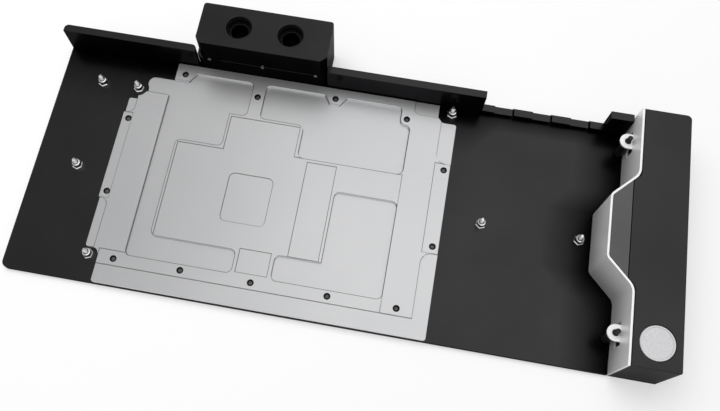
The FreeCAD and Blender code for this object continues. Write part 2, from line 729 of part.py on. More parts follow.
# Back pocket, with the boss that carries a screw at its back edge and a waist at its right end
rounded_pocket(cold_plate, "back_pocket", "Sizes.cold_top", [
    ("-Sizes.pocket_two_left", "Sizes.pocket_lobe_back"),
    ("Sizes.pocket_two_step", "Sizes.pocket_lobe_back"),
    ("Sizes.pocket_two_step", "Sizes.pocket_two_front"),
    ("Sizes.pocket_two_right", "Sizes.pocket_two_front"),
    ("Sizes.pocket_two_right", "Sizes.pocket_two_neck_front"),
    ("Sizes.pocket_two_neck", "Sizes.pocket_two_neck_front"),
    ("Sizes.pocket_two_neck", "Sizes.pocket_back"),
    ("Sizes.cover_screw_11_x + Sizes.boss_half_top", "Sizes.pocket_back"),
    ("Sizes.cover_screw_11_x + Sizes.boss_half_foot", "Sizes.pocket_back - Sizes.boss_reach"),
    ("Sizes.cover_screw_11_x - Sizes.boss_half_foot", "Sizes.pocket_back - Sizes.boss_reach"),
    ("Sizes.cover_screw_11_x - Sizes.boss_half_top", "Sizes.pocket_back"),
    ("-Sizes.pocket_two_left", "Sizes.pocket_back")],
    "Sizes.pocket_depth", "Sizes.pocket_radius", (7, 8, 9, 10))

# Right front pocket with its toe towards the middle
rounded_pocket(cold_plate, "front_pocket", "Sizes.cold_top", [
    ("Sizes.pocket_three_toe", "-Sizes.pocket_front"),
    ("Sizes.pocket_two_right", "-Sizes.pocket_front"),
    ("Sizes.pocket_two_right", "Sizes.pocket_three_back"),
    ("Sizes.pocket_three_left", "Sizes.pocket_three_back"),
    ("Sizes.pocket_three_left", "-Sizes.pocket_three_toe_back"),
    ("Sizes.pocket_three_toe", "-Sizes.pocket_three_toe_back")],
    "Sizes.pocket_depth", "Sizes.pocket_radius", (4,))

# Shallow recesses: over the processor, a band beside it, a patch in front and the back corner
rounded_pocket(cold_plate, "processor_recess", "Sizes.cold_top - Sizes.web_step", [
    ("-Sizes.recess_width / 2", "-Sizes.recess_depth / 2"),
    ("Sizes.recess_width / 2", "-Sizes.recess_depth / 2"),
    ("Sizes.recess_width / 2", "Sizes.recess_depth / 2"),
    ("-Sizes.recess_width / 2", "Sizes.recess_depth / 2")],
    "Sizes.recess_step", "Sizes.recess_radius")
shallow = new_sketch(cold_plate, "shallow_patches", "Sizes.cold_top - Sizes.web_step")
add_rectangle(shallow, "Sizes.band_left", "-Sizes.band_front", "Sizes.band_right", "Sizes.band_back")
add_rectangle(shallow, "Sizes.pad_left", "-Sizes.pad_front", "Sizes.pad_right", "-Sizes.band_front")
pocket(cold_plate, shallow, "Sizes.band_step")
rounded_pocket(cold_plate, "corner_recess", "Sizes.cold_top", [
    ("Sizes.corner_recess_left", "Sizes.corner_recess_front"),
    (outside, "Sizes.corner_recess_front"), (outside, beyond),
    ("Sizes.corner_recess_left", beyond)],
    "Sizes.corner_recess_step", "Sizes.pocket_radius", (1, 2, 3))

# Coolant gaps between the fins on the lower face
fins = new_sketch(cold_plate, "fin_gaps")
for step in range(int(DRIVING_SIZES["fin_gaps"])):
    middle = f"-Sizes.fin_first + {step} * Sizes.fin_pitch"
    add_rectangle(fins, "-Sizes.fin_centre_x - Sizes.fin_span / 2", f"{middle} - Sizes.fin_gap_width / 2",
                  "-Sizes.fin_centre_x + Sizes.fin_span / 2", f"{middle} + Sizes.fin_gap_width / 2")
pocket(cold_plate, fins, "Sizes.fin_gap_height", upward=True)

# Threaded holes for the cover screws, with a small chamfer at each mouth
cold_screws = [(f"Sizes.cover_screw_{number}_x", f"Sizes.cover_screw_{number}_y")
               for number in range(1, len(COVER_SCREW_PLACES) + 1)]
drill(cold_plate, "screw_holes", "Sizes.cold_top", cold_screws, "Sizes.screw_hole_radius", "Sizes.cold_top")
hole_mouths = []
for index, edge in enumerate(cold_plate.Shape.Edges, start=1):
    rim = ring_of_radius(value("Sizes.screw_hole_radius"))(edge)
    if rim and edge.BoundBox.ZMin > value("Sizes.plate_thickness + Sizes.screw_mouth"):
        hole_mouths.append(f"Edge{index}")
chamfer_edges(cold_plate, hole_mouths, "Sizes.screw_mouth")

# Flow cover: acetal, dropped into the window from the inner side, where its rim rests on the
# backplate's ledge. Its tongue reaches out behind the flange and carries the terminal.
flow_cover = new_body("flow_cover")
cover_face = new_sketch(flow_cover, "cover_face")
add_polygon(cover_face, window_outline("Sizes.ledge_width + Sizes.cover_gap"),
            "Sizes.window_radius - Sizes.ledge_width - Sizes.cover_gap", WINDOW_MOUTH)
pad(flow_cover, cover_face, "Sizes.plate_thickness")
cover_rim = new_sketch(flow_cover, "cover_rim", "Sizes.ledge_height")
add_polygon(cover_rim, window_outline("Sizes.cover_gap"),
            "Sizes.window_radius - Sizes.cover_gap", WINDOW_MOUTH)
pad(flow_cover, cover_rim, "Sizes.plate_thickness - Sizes.ledge_height")
tongue = new_sketch(flow_cover, "tongue")
add_rectangle(tongue, "Datums.terminal_left", "Datums.flange_back + Sizes.cover_gap",
              "Datums.terminal_right", "Datums.terminal_back")
pad(flow_cover, tongue, "Sizes.plate_thickness")
neck_link = new_sketch(flow_cover, "neck_link")
add_rectangle(neck_link, "Datums.terminal_x - Sizes.neck_half_width + Sizes.ledge_width + Sizes.cover_gap",
              "Datums.flange_front",
              "Datums.terminal_x + Sizes.neck_half_width - Sizes.ledge_width - Sizes.cover_gap",
              "Datums.port_y")
pad(flow_cover, neck_link, "Sizes.plate_thickness")
round_uprights(flow_cover, [("Datums.terminal_left", "Datums.terminal_back"),
                            ("Datums.terminal_right", "Datums.terminal_back")],
               "Sizes.terminal_back_radius")


def mouth_side(port, direction):
    """One side of a channel mouth, half its width from the port."""
    return f"{port} {direction} Sizes.channel_mouth_width / 2"


# The two coolant channels: each runs from a mouth near its port to one end of the fins
left_outer, channel_front = at_die("-Sizes.channel_outer", "-Sizes.channel_front")
left_inner, channel_turn = at_die("-Sizes.channel_outer + Sizes.channel_width", "Sizes.channel_turn")
right_outer, channel_back = at_die("Sizes.channel_right_outer", "Sizes.channel_back")
right_inner, mouth_back = at_die("Sizes.channel_right_outer - Sizes.channel_width",
                                 "Sizes.channel_mouth_back")
CHANNELS = {
    "inlet_channel": [
        (left_outer, channel_front), (left_inner, channel_front), (left_inner, channel_turn),
        (mouth_side("Datums.port_left_x", "+"), channel_turn),
        (mouth_side("Datums.port_left_x", "+"), mouth_back),
        (mouth_side("Datums.port_left_x", "-"), mouth_back),
        (mouth_side("Datums.port_left_x", "-"), channel_back), (left_outer, channel_back)],
    "outlet_channel": [
        (right_inner, channel_front), (right_outer, channel_front), (right_outer, channel_back),
        (mouth_side("Datums.port_right_x", "+"), channel_back),
        (mouth_side("Datums.port_right_x", "+"), mouth_back),
        (mouth_side("Datums.port_right_x", "-"), mouth_back),
        (mouth_side("Datums.port_right_x", "-"), channel_turn), (right_inner, channel_turn)],
}
for name, corners in CHANNELS.items():
    rounded_pocket(flow_cover, name, "Sizes.plate_thickness", corners,
                   "Sizes.plate_thickness - Sizes.channel_floor", "Sizes.channel_radius")

# Tunnels that pass below the seal from each channel mouth to the riser under its port
tunnels = new_sketch(flow_cover, "tunnels", "Sizes.tunnel_floor + Sizes.tunnel_height")
for port in ("Datums.port_left_x", "Datums.port_right_x"):
    add_rectangle(tunnels, f"{port} - Sizes.tunnel_width / 2", f"{mouth_back} - Sizes.tunnel_width",
                  f"{port} + Sizes.tunnel_width / 2", "Datums.port_y")
pocket(flow_cover, tunnels, "Sizes.tunnel_height")
drill(flow_cover, "riser_feet", "Sizes.plate_thickness", PORTS, "Sizes.riser_radius",
      "Sizes.plate_thickness - Sizes.tunnel_floor")


def seal_outline(margin):
    """The seal's closed path round both channels, drawn out from them by margin."""
    left = f"{left_outer} - {margin}"
    right = f"{right_outer} + {margin}"
    front = f"{channel_front} - {margin}"
    shoulder = f"{channel_back} + {margin}"
    back = f"{mouth_back} + {margin}"
    saddle = at_die("0", f"Sizes.seal_saddle + {margin}")[1]
    return [(left, front), (right, front), (right, shoulder),
            (mouth_side("Datums.port_right_x", "+") + f" + {margin}", shoulder),
            (mouth_side("Datums.port_right_x", "+") + f" + {margin}", back),
            (mouth_side("Datums.port_right_x", "-") + f" - {margin}", back),
            (mouth_side("Datums.port_right_x", "-") + f" - {margin}", saddle),
            (mouth_side("Datums.port_left_x", "+") + f" + {margin}", saddle),
            (mouth_side("Datums.port_left_x", "+") + f" + {margin}", back),
            (mouth_side("Datums.port_left_x", "-") + f" - {margin}", back),
            (mouth_side("Datums.port_left_x", "-") + f" - {margin}", shoulder), (left, shoulder)]


def add_seal(sketch):
    """The seal's section: the band between two outlines that lie its width apart."""
    for margin in ("Sizes.seal_margin", "(Sizes.seal_margin + Sizes.seal_width)"):
        add_polygon(sketch, seal_outline(margin), "Sizes.seal_radius")


seal_groove = new_sketch(flow_cover, "seal_groove", "Sizes.plate_thickness")
add_seal(seal_groove)
pocket(flow_cover, seal_groove, "Sizes.seal_depth")
drill(flow_cover, "neck_screw_hole", "Sizes.plate_thickness", [NECK_SCREW],
      "Sizes.screw_radius + Sizes.screw_clearance", "Sizes.plate_thickness")
drill(flow_cover, "neck_screw_head", "0", [NECK_SCREW],
      "Sizes.screw_head_radius + Sizes.head_clearance",
      "Sizes.screw_head_height + Sizes.fit_gap", upward=True)
drill(flow_cover, "clamp_holes", "Sizes.plate_thickness", CLAMP_SCREWS,
      "Sizes.clamp_screw_radius + Sizes.screw_clearance", "Sizes.plate_thickness")
drill(flow_cover, "clamp_heads", "0", CLAMP_SCREWS,
      "Sizes.clamp_head_radius + Sizes.head_clearance",
      "Sizes.clamp_head_height + Sizes.fit_gap", upward=True)

# Seal cord, pressed flush into its groove
cover_seal = new_body("cover_seal", z="Sizes.plate_thickness - Sizes.seal_depth")
seal_section = new_sketch(cover_seal, "seal_section")
add_seal(seal_section)
pad(cover_seal, seal_section, "Sizes.seal_depth")

# Cover screws: put in from the outer face, their heads sunk and their ends in the cold plate
cover_screws = new_body("cover_screws", z="Sizes.fit_gap")
round_posts(cover_screws, "heads", "0", COVER_SCREWS, "Sizes.screw_head_radius",
            "Sizes.screw_head_height")
round_posts(cover_screws, "shanks", "Sizes.screw_head_height", COVER_SCREWS, "Sizes.screw_radius",
            "Sizes.plate_thickness - Sizes.screw_head_height - Sizes.fit_gap + Sizes.screw_reach")
drill(cover_screws, "sockets", "0", COVER_SCREWS, "Sizes.socket_radius", "Sizes.socket_depth",
      upward=True)
screw_ends = level_edges(cover_screws.Shape, value("Sizes.plate_thickness + Sizes.screw_reach"),
                         ring_of_radius(value("Sizes.screw_radius")))
chamfer_edges(cover_screws, screw_ends, "Sizes.screw_tip")

# Terminal bridge: the acetal riser between the cover's tongue and the terminal block
bridge_front = "Datums.terminal_front + Sizes.bridge_setback"
bridge_left = "Datums.slot_left + Sizes.cover_gap"
terminal_bridge = new_body("terminal_bridge")
bridge_foot = new_sketch(terminal_bridge, "bridge_foot", "Sizes.plate_thickness")
add_rectangle(bridge_foot, bridge_left, bridge_front,
              "Datums.terminal_right", "Datums.terminal_back")
pad(terminal_bridge, bridge_foot, "Sizes.terminal_joint - Sizes.plate_thickness")
round_uprights(terminal_bridge, [(bridge_left, "Datums.terminal_back"),
                                 ("Datums.terminal_right", "Datums.terminal_back")],
               "Sizes.terminal_back_radius")
front_corners = upright_edges(terminal_bridge.Shape, [(bridge_left, bridge_front),
                                                      ("Datums.terminal_right", bridge_front)])
chamfer_edges(terminal_bridge, front_corners, "Sizes.terminal_front_chamfer - Sizes.bridge_setback")
bridge_height = "Sizes.terminal_joint - Sizes.plate_thickness"
drill(terminal_bridge, "risers", "Sizes.terminal_joint", PORTS, "Sizes.riser_radius", bridge_height)
drill(terminal_bridge, "clamp_holes", "Sizes.terminal_joint", CLAMP_SCREWS,
      "Sizes.clamp_screw_radius + Sizes.screw_clearance", bridge_height)


def add_rings(sketch):
    """Two rings, one round each port, as wide as the port seal's cord."""
    for x, y in PORTS:
        add_circle(sketch, x, y, "Sizes.port_seal_radius + Sizes.port_seal_cord / 2")
        add_circle(sketch, x, y, "Sizes.port_seal_radius - Sizes.port_seal_cord / 2")


SEAL_HEIGHT = "Sizes.port_seal_cord - Sizes.port_seal_squeeze"
upper_grooves = new_sketch(terminal_bridge, "upper_grooves", "Sizes.terminal_joint")
add_rings(upper_grooves)
pocket(terminal_bridge, upper_grooves, SEAL_HEIGHT)
lower_grooves = new_sketch(terminal_bridge, "lower_grooves", "Sizes.plate_thickness")
add_rings(lower_grooves)
pocket(terminal_bridge, lower_grooves, SEAL_HEIGHT, upward=True)

# Port seals: one pair under the terminal block and one pair on the tongue
for label, level in (("terminal_seals", f"Sizes.terminal_joint - ({SEAL_HEIGHT})"),
                     ("bridge_seals", "Sizes.plate_thickness")):
    seals = new_body(label, z=level)
    rings = new_sketch(seals, label + "_rings")
    add_rings(rings)
    pad(seals, rings, SEAL_HEIGHT)

# Terminal block: acetal with two threaded ports, each opening into a narrower riser
terminal_block = new_body("terminal_block")
terminal_foot = new_sketch(terminal_block, "terminal_foot", "Sizes.terminal_joint")
add_rectangle(terminal_foot, "Datums.terminal_left", "Datums.terminal_front",
              "Datums.terminal_right", "Datums.terminal_back")
pad(terminal_block, terminal_foot, "Sizes.terminal_top - Sizes.terminal_joint")
round_uprights(terminal_block, [("Datums.terminal_left", "Datums.terminal_back"),
                                ("Datums.terminal_right", "Datums.terminal_back")],
               "Sizes.terminal_back_radius")
front_corners = upright_edges(terminal_block.Shape, [("Datums.terminal_left", "Datums.terminal_front"),
                                                     ("Datums.terminal_right", "Datums.terminal_front")])
chamfer_edges(terminal_block, front_corners, "Sizes.terminal_front_chamfer")
front_relief = new_sketch(terminal_block, "front_relief", "Sizes.relief_top")
relief_middle = "Datums.terminal_x + Sizes.relief_offset"
add_rectangle(front_relief, f"{relief_middle} - Sizes.relief_width / 2",
              "Datums.terminal_front - Sizes.relief_step",
              f"{relief_middle} + Sizes.relief_width / 2",
              "Datums.terminal_front + Sizes.relief_step")
pocket(terminal_block, front_relief, "Sizes.relief_top - Sizes.terminal_joint")
drill(terminal_block, "ports", "Sizes.terminal_top", PORTS, "Sizes.port_radius", "Sizes.port_depth")
drill(terminal_block, "port_ledges", "Sizes.terminal_top - Sizes.port_depth", PORTS,
      "Sizes.port_ledge_radius", "Sizes.port_ledge_depth")
drill(terminal_block, "risers", "Sizes.terminal_top", PORTS, "Sizes.riser_radius",
      "Sizes.terminal_top - Sizes.terminal_joint")
port_rims = level_edges(terminal_block.Shape, value("Sizes.terminal_top"),
                        ring_of_radius(value("Sizes.port_radius")))
chamfer_edges(terminal_block, port_rims, "Sizes.port_mouth")
drill(terminal_block, "clamp_bores", "Sizes.terminal_joint", CLAMP_SCREWS,
      "Sizes.clamp_screw_radius + Sizes.screw_clearance",
      "Sizes.clamp_engagement + Sizes.fit_gap", upward=True)
face_screw_holes = new_sketch(terminal_block, "face_screw_holes", "-Datums.terminal_front", "XZ_Plane")
FACE_SCREWS = [(f"Datums.terminal_x + {step} * Sizes.face_screw_pitch", "Sizes.face_screw_height")
               for step in (-1, 0, 1)]
for x, z in FACE_SCREWS:
    add_circle(face_screw_holes, x, z, "Sizes.face_screw_radius")
pocket(terminal_block, face_screw_holes, "Sizes.face_screw_length")

# Three tiny screws in the block's front face
terminal_front_screws = new_body("terminal_front_screws")
face_heads = new_sketch(terminal_front_screws, "face_heads", "-Datums.terminal_front", "XZ_Plane")
face_shanks = new_sketch(terminal_front_screws, "face_shanks", "-Datums.terminal_front", "XZ_Plane")
for x, z in FACE_SCREWS:
    add_circle(face_heads, x, z, "Sizes.face_screw_head_radius")
    add_circle(face_shanks, x, z, "Sizes.face_screw_radius")
pad(terminal_front_screws, face_heads, "Sizes.face_screw_head_height")
pad(terminal_front_screws, face_shanks, "Sizes.face_screw_length", downward=True)

# Long screws from below that clamp the tongue, the bridge and the block together
terminal_screws = new_body("terminal_screws", z="Sizes.fit_gap")
round_posts(terminal_screws, "heads", "0", CLAMP_SCREWS, "Sizes.clamp_head_radius",
            "Sizes.clamp_head_height")
round_posts(terminal_screws, "shanks", "Sizes.clamp_head_height", CLAMP_SCREWS,
            "Sizes.clamp_screw_radius",
            "Sizes.terminal_joint + Sizes.clamp_engagement - Sizes.clamp_head_height - Sizes.fit_gap")
drill(terminal_screws, "sockets", "0", CLAMP_SCREWS, "Sizes.socket_radius", "Sizes.socket_depth",
      upward=True)

# End bar: a hollow moulding over the plate's tab, with a nose that reaches in over the plate
BAR_LEFT = "Datums.bar_face + Sizes.strip_thickness + Sizes.bar_clearance"


def nose_path(offset, end_front, end_back):
    """The line of the bright strip from one bar end to the other, moved towards +X by offset."""
    side = f"Datums.bar_face + {offset}"
    tip = f"Datums.nose_face + {offset}"
    taper = f"({offset}) * tan(22.5 deg)"
    inner = f"(Sizes.nose_half - {taper})"
    outer = f"(Sizes.nose_half + Sizes.nose_reach - {taper})"
    return [(side, end_front), (side, f"Datums.nose_y - {outer}"), (tip, f"Datums.nose_y - {inner}"),
            (tip, f"Datums.nose_y + {inner}"), (side, f"Datums.nose_y + {outer}"), (side, end_back)]


end_bar = new_body("end_bar")
bar_outline = new_sketch(end_bar, "bar_outline")
nose_line = nose_path("(Sizes.strip_thickness + Sizes.bar_clearance)", "Datums.front_edge",
                      "Datums.bar_back")
add_polygon(bar_outline, nose_line + [("Datums.right_edge", "Datums.bar_back"),
                                      ("Datums.right_edge", "Datums.front_edge")])
pad(end_bar, bar_outline, "Sizes.bar_height")
round_uprights(end_bar, nose_line[1:5],
               "Sizes.bar_nose_radius + Sizes.strip_thickness + Sizes.bar_clearance")
round_uprights(end_bar, [("Datums.right_edge", "Datums.bar_back")], "Sizes.bar_back_radius")
round_uprights(end_bar, [("Datums.right_edge", "Datums.front_edge")], "Sizes.bar_front_radius")
top_edges = [f"Edge{index}" for index, edge in enumerate(end_bar.Shape.Edges, start=1)
             if edge.BoundBox.ZMin > value("Sizes.bar_height") - 1e-6]
chamfer_edges(end_bar, top_edges, "Sizes.bar_edge")
bar_seat = new_sketch(end_bar, "bar_seat")
add_rectangle(bar_seat, "Datums.nose_face - Sizes.strip_thickness",
              "Datums.front_edge + Sizes.tab_front_margin - Sizes.fit_gap",
              "Datums.bar_face + Sizes.tab_length + Sizes.fit_gap",
              "Datums.bar_back - Sizes.tab_back_margin + Sizes.fit_gap")
pocket(end_bar, bar_seat, "Sizes.plate_thickness", upward=True)
cavity = new_sketch(end_bar, "cavity")
cavity_left = f"{BAR_LEFT} + Sizes.bar_wall"
add_polygon(cavity, [(cavity_left, "Datums.front_edge + Sizes.bar_wall"),
                     ("Datums.right_edge - Sizes.bar_wall", "Datums.front_edge + Sizes.bar_wall"),
                     ("Datums.right_edge - Sizes.bar_wall", "Datums.bar_back - Sizes.bar_wall"),
                     (cavity_left, "Datums.bar_back - Sizes.bar_wall")], "Sizes.bar_wall / 2")
for x, y in BAR_SCREWS:
    add_circle(cavity, x, y, "Sizes.bar_post_radius")
pocket(end_bar, cavity, "Sizes.bar_height - Sizes.bar_wall", upward=True)
drill(end_bar, "post_bores", "0", BAR_SCREWS, "Sizes.bar_screw_radius + Sizes.screw_clearance",
      "Sizes.plate_thickness + Sizes.bar_screw_engagement + Sizes.fit_gap", upward=True)
plate_seat = new_sketch(end_bar, "plate_seat", "Sizes.bar_height")
recess_right = "Datums.bar_face - Sizes.name_plate_setback + Sizes.name_plate_gap"
add_rectangle(plate_seat, "Datums.nose_face", "Datums.nose_y - Sizes.nose_half - Sizes.nose_reach",
              recess_right, "Datums.nose_y + Sizes.nose_half + Sizes.nose_reach")
pocket(end_bar, plate_seat, "Sizes.name_plate_thickness")
badge_spot = ("Datums.right_edge - Sizes.badge_from_right", "Datums.front_edge + Sizes.badge_from_front")
drill(end_bar, "badge_seat", "Sizes.bar_height", [badge_spot], "Sizes.badge_radius + Sizes.badge_gap",
      "Sizes.badge_thickness")

# Screws that hold the end bar down on the plate's tab
end_bar_screws = new_body("end_bar_screws", z="Sizes.fit_gap")
round_posts(end_bar_screws, "heads", "0", BAR_SCREWS, "Sizes.bar_screw_head_radius",
            "Sizes.bar_screw_head_height")
round_posts(end_bar_screws, "shanks", "Sizes.bar_screw_head_height", BAR_SCREWS,
            "Sizes.bar_screw_radius",
            "Sizes.plate_thickness + Sizes.bar_screw_engagement"
            " - Sizes.bar_screw_head_height - Sizes.fit_gap")
drill(end_bar_screws, "sockets", "0", BAR_SCREWS, "Sizes.socket_radius", "Sizes.socket_depth",
      upward=True)

# Plain inlay over the nose, level with the top of the bar
name_plate = new_body("name_plate", z="Sizes.bar_height - Sizes.name_plate_thickness")
inlay = new_sketch(name_plate, "inlay")
inlay_right = "Datums.bar_face - Sizes.name_plate_setback"
inlay_line = nose_path("(Sizes.strip_thickness + Sizes.bar_clearance)", "0", "0")
inlay_half = ("(Sizes.nose_half + Sizes.nose_reach - Sizes.name_plate_setback"
              " - (Sizes.strip_thickness + Sizes.bar_clearance) / sin(45 deg))")
add_polygon(inlay, [(inlay_right, f"Datums.nose_y - {inlay_half}"), inlay_line[2], inlay_line[3],
                    (inlay_right, f"Datums.nose_y + {inlay_half}")])
pad(name_plate, inlay, "Sizes.name_plate_thickness")
round_uprights(name_plate, inlay_line[2:4],
               "Sizes.bar_nose_radius + Sizes.strip_thickness + Sizes.bar_clearance")

# Plain disc let into the front end of the bar
badge_disc = new_body("badge_disc", *badge_spot, "Sizes.bar_height - Sizes.badge_thickness")
round_posts(badge_disc, "disc", "0", [("0", "0")], "Sizes.badge_radius", "Sizes.badge_thickness")

# Bright strip: sheet metal on edge, bent round the nose, with two lugs bent in towards the plate
trim_strip = new_body("trim_strip")
strip_line = new_sketch(trim_strip, "strip_line")
strip_end = "Datums.bar_back + Sizes.strip_overhang"
near_side = nose_path("0", "Datums.front_edge", strip_end)
far_side = nose_path("Sizes.strip_thickness", "Datums.front_edge", strip_end)
add_polygon(strip_line, near_side + far_side[::-1])
pad(trim_strip, strip_line, "Sizes.bar_height")
round_uprights(trim_strip, far_side[2:4], "Sizes.strip_bend_radius + Sizes.bar_clearance")
round_uprights(trim_strip, near_side[2:4],
               "Sizes.strip_bend_radius + Sizes.bar_clearance + Sizes.strip_thickness")
round_uprights(trim_strip, [near_side[1], near_side[4]], "Sizes.strip_foot_radius")
round_uprights(trim_strip, [far_side[1], far_side[4]],
               "Sizes.strip_foot_radius + Sizes.strip_thickness")
strip_foot = new_sketch(trim_strip, "strip_foot")
add_rectangle(strip_foot, "Datums.nose_face - Sizes.strip_thickness",
              "Datums.front_edge + Sizes.tab_front_margin - Sizes.fit_gap", "Datums.right_edge",
              "Datums.bar_back - Sizes.tab_back_margin + Sizes.fit_gap")
pocket(trim_strip, strip_foot, "Sizes.plate_thickness", upward=True)
lug_windows = new_sketch(trim_strip, "lug_windows", "Sizes.lug_height")
for x, y in LUGS:
    half = "(Sizes.lug_ring_radius + Sizes.lug_window_margin)"
    add_rectangle(lug_windows, "Datums.nose_face - Sizes.strip_thickness", f"{y} - {half}",
                  "Datums.right_edge", f"{y} + {half}")
pocket(trim_strip, lug_windows, "Sizes.lug_window_height")
round_posts(trim_strip, "lug_rings", "Sizes.lug_height - Sizes.strip_thickness", LUGS,
            "Sizes.lug_ring_radius", "Sizes.strip_thickness")
lug_necks = new_sketch(trim_strip, "lug_necks", "Sizes.lug_height - Sizes.strip_thickness")
for x, y in LUGS:
    add_rectangle(lug_necks, x, f"{y} - Sizes.lug_ring_radius",
                  "Datums.bar_face + Sizes.strip_thickness", f"{y} + Sizes.lug_ring_radius")
pad(trim_strip, lug_necks, "Sizes.strip_thickness")
lug_overrun = new_sketch(trim_strip, "lug_overrun", "Sizes.lug_height")
for x, y in LUGS:
    add_rectangle(lug_overrun, "Datums.bar_face + Sizes.strip_thickness",
                  f"{y} - Sizes.lug_ring_radius - Sizes.cut_overrun", "Datums.right_edge",
                  f"{y} + Sizes.lug_ring_radius + Sizes.cut_overrun")
pocket(trim_strip, lug_overrun, "Sizes.strip_thickness")
drill(trim_strip, "lug_holes", "Sizes.lug_height", LUGS, "Sizes.lug_hole_radius",
      "Sizes.strip_thickness")

# Hexagon posts under the lugs, and the threaded studs that stand in them
POST_TOP = "Sizes.lug_height - Sizes.strip_thickness"
for number, (x, y) in enumerate(LUGS, start=1):
    lug_post = new_body(f"lug_post_{number}", x, y, "Sizes.plate_thickness")
    post_section = new_sketch(lug_post, "post_section")
    add_hexagon(post_section, "Sizes.lug_post_flats")
    pad(lug_post, post_section, f"{POST_TOP} - Sizes.plate_thickness")
    root = new_sketch(lug_post, "post_root")
    add_circle(root, "0", "0", "Sizes.standoff_root_radius")
    pad(lug_post, root, "Sizes.standoff_root_length", downward=True)
    drill(lug_post, "stud_bore", f"{POST_TOP} - Sizes.plate_thickness", [("0", "0")],
          "Sizes.lug_stud_radius", "Sizes.lug_stud_engagement")
    lug_stud = new_body(f"lug_stud_{number}", x, y, f"{POST_TOP} - Sizes.lug_stud_engagement")
    round_posts(lug_stud, "stud", "0", [("0", "0")], "Sizes.lug_stud_radius",
                "Sizes.lug_stud_engagement + Sizes.strip_thickness + Sizes.lug_stud_rise")
    stud_top = value(f"{POST_TOP} + Sizes.strip_thickness + Sizes.lug_stud_rise")
    tip = level_edges(lug_stud.Shape, stud_top, ring_of_radius(value("Sizes.lug_stud_radius")))
    chamfer_edges(lug_stud, tip, "Sizes.lug_stud_tip")

# Standoffs that the circuit board sits on: hexagon foot, neck, collar and threaded stud
for number, (x, y) in enumerate(STANDOFFS, start=1):
    standoff = new_body(f"standoff_{number}", x, y, "Sizes.plate_thickness")
    foot = new_sketch(standoff, "foot")
    add_hexagon(foot, "Sizes.standoff_flats")
    pad(standoff, foot, "Sizes.standoff_hex_height")
    root = new_sketch(standoff, "root")
    add_circle(root, "0", "0", "Sizes.standoff_root_radius")
    pad(standoff, root, "Sizes.standoff_root_length", downward=True)
    neck_top = "Sizes.standoff_hex_height + Sizes.standoff_neck_height"
    collar_top = f"{neck_top} + Sizes.standoff_collar_height"
    round_posts(standoff, "neck", "Sizes.standoff_hex_height", [("0", "0")],
                "Sizes.standoff_neck_radius", "Sizes.standoff_neck_height")
    round_posts(standoff, "collar", neck_top, [("0", "0")], "Sizes.standoff_collar_radius",
                "Sizes.standoff_collar_height")
    round_posts(standoff, "stud", collar_top, [("0", "0")], "Sizes.standoff_stud_radius",
                "Sizes.standoff_stud_height")
    stud_top = value(f"Sizes.plate_thickness + {collar_top} + Sizes.standoff_stud_height")
    tip = level_edges(standoff.Shape, stud_top, ring_of_radius(value("Sizes.standoff_stud_radius")))
    chamfer_edges(standoff, tip, "Sizes.standoff_tip")

os.makedirs("parts", exist_ok=True)
for piece in [item for item in doc.Objects if item.TypeId == "PartDesign::Body"]:
    troubled = [item.Name for item in piece.Group if "Invalid" in item.State or "Error" in item.State]
    if troubled or piece.Shape.isNull() or not piece.Shape.isValid():
        raise RuntimeError(f"{piece.Label} is not sound: {troubled}")
    piece.Shape.exportStep(f"parts/{piece.Label}.step")
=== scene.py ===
import math

import bmesh
import bpy
from mathutils import Matrix, Vector


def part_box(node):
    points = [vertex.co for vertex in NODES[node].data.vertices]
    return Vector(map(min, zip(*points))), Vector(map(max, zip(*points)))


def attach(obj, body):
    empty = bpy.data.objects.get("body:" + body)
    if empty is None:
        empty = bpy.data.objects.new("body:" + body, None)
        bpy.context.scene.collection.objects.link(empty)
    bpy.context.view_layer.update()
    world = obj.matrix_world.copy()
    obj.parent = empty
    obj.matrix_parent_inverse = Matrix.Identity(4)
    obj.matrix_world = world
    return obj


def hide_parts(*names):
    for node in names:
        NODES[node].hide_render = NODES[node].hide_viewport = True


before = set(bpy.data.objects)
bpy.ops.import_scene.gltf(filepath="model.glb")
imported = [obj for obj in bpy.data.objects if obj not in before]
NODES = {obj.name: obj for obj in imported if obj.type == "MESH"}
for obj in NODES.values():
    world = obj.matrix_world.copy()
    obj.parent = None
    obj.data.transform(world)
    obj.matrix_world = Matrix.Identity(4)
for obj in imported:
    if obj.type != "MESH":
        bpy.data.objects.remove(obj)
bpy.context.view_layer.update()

MM = 0.001


# Backplate: one slab of aluminium milled with its flange and comb wall, its sharp edges broken,
# then bead blasted and anodised black. It lies on its outer face and carries everything else.
# Its colour carries painted shade where it lies close under the walls and the bright strip.
def finish_material(name, colour, roughness, metallic=0.0, specular=0.5, tint=(1, 1, 1)):
    """A Principled material; what is the same all over it is set on the shader's own sockets."""
    material = bpy.data.materials.new(name)
    material.use_nodes = True
    shader = material.node_tree.nodes["Principled BSDF"]
    shader.inputs["Base Color"].default_value = (*colour, 1)
    shader.inputs["Roughness"].default_value = roughness
    shader.inputs["Metallic"].default_value = metallic
    shader.inputs["Specular IOR Level"].default_value = specular
    shader.inputs["Specular Tint"].default_value = (*tint, 1)
    return material


def cloud(material, scale, detail=3.0, stretch=(1, 1, 1)):
    """Noise on Object coordinates, stretched along an axis where a tool has left its lay."""
    tree = material.node_tree
    place = tree.nodes.new("ShaderNodeTexCoord")
    mapping = tree.nodes.new("ShaderNodeMapping")
    mapping.inputs["Scale"].default_value = stretch
    tree.links.new(place.outputs["Object"], mapping.inputs["Vector"])
    noise = tree.nodes.new("ShaderNodeTexNoise")
    noise.inputs["Scale"].default_value = scale
    noise.inputs["Detail"].default_value = detail
    tree.links.new(mapping.outputs["Vector"], noise.inputs["Vector"])
    return noise.outputs["Fac"]


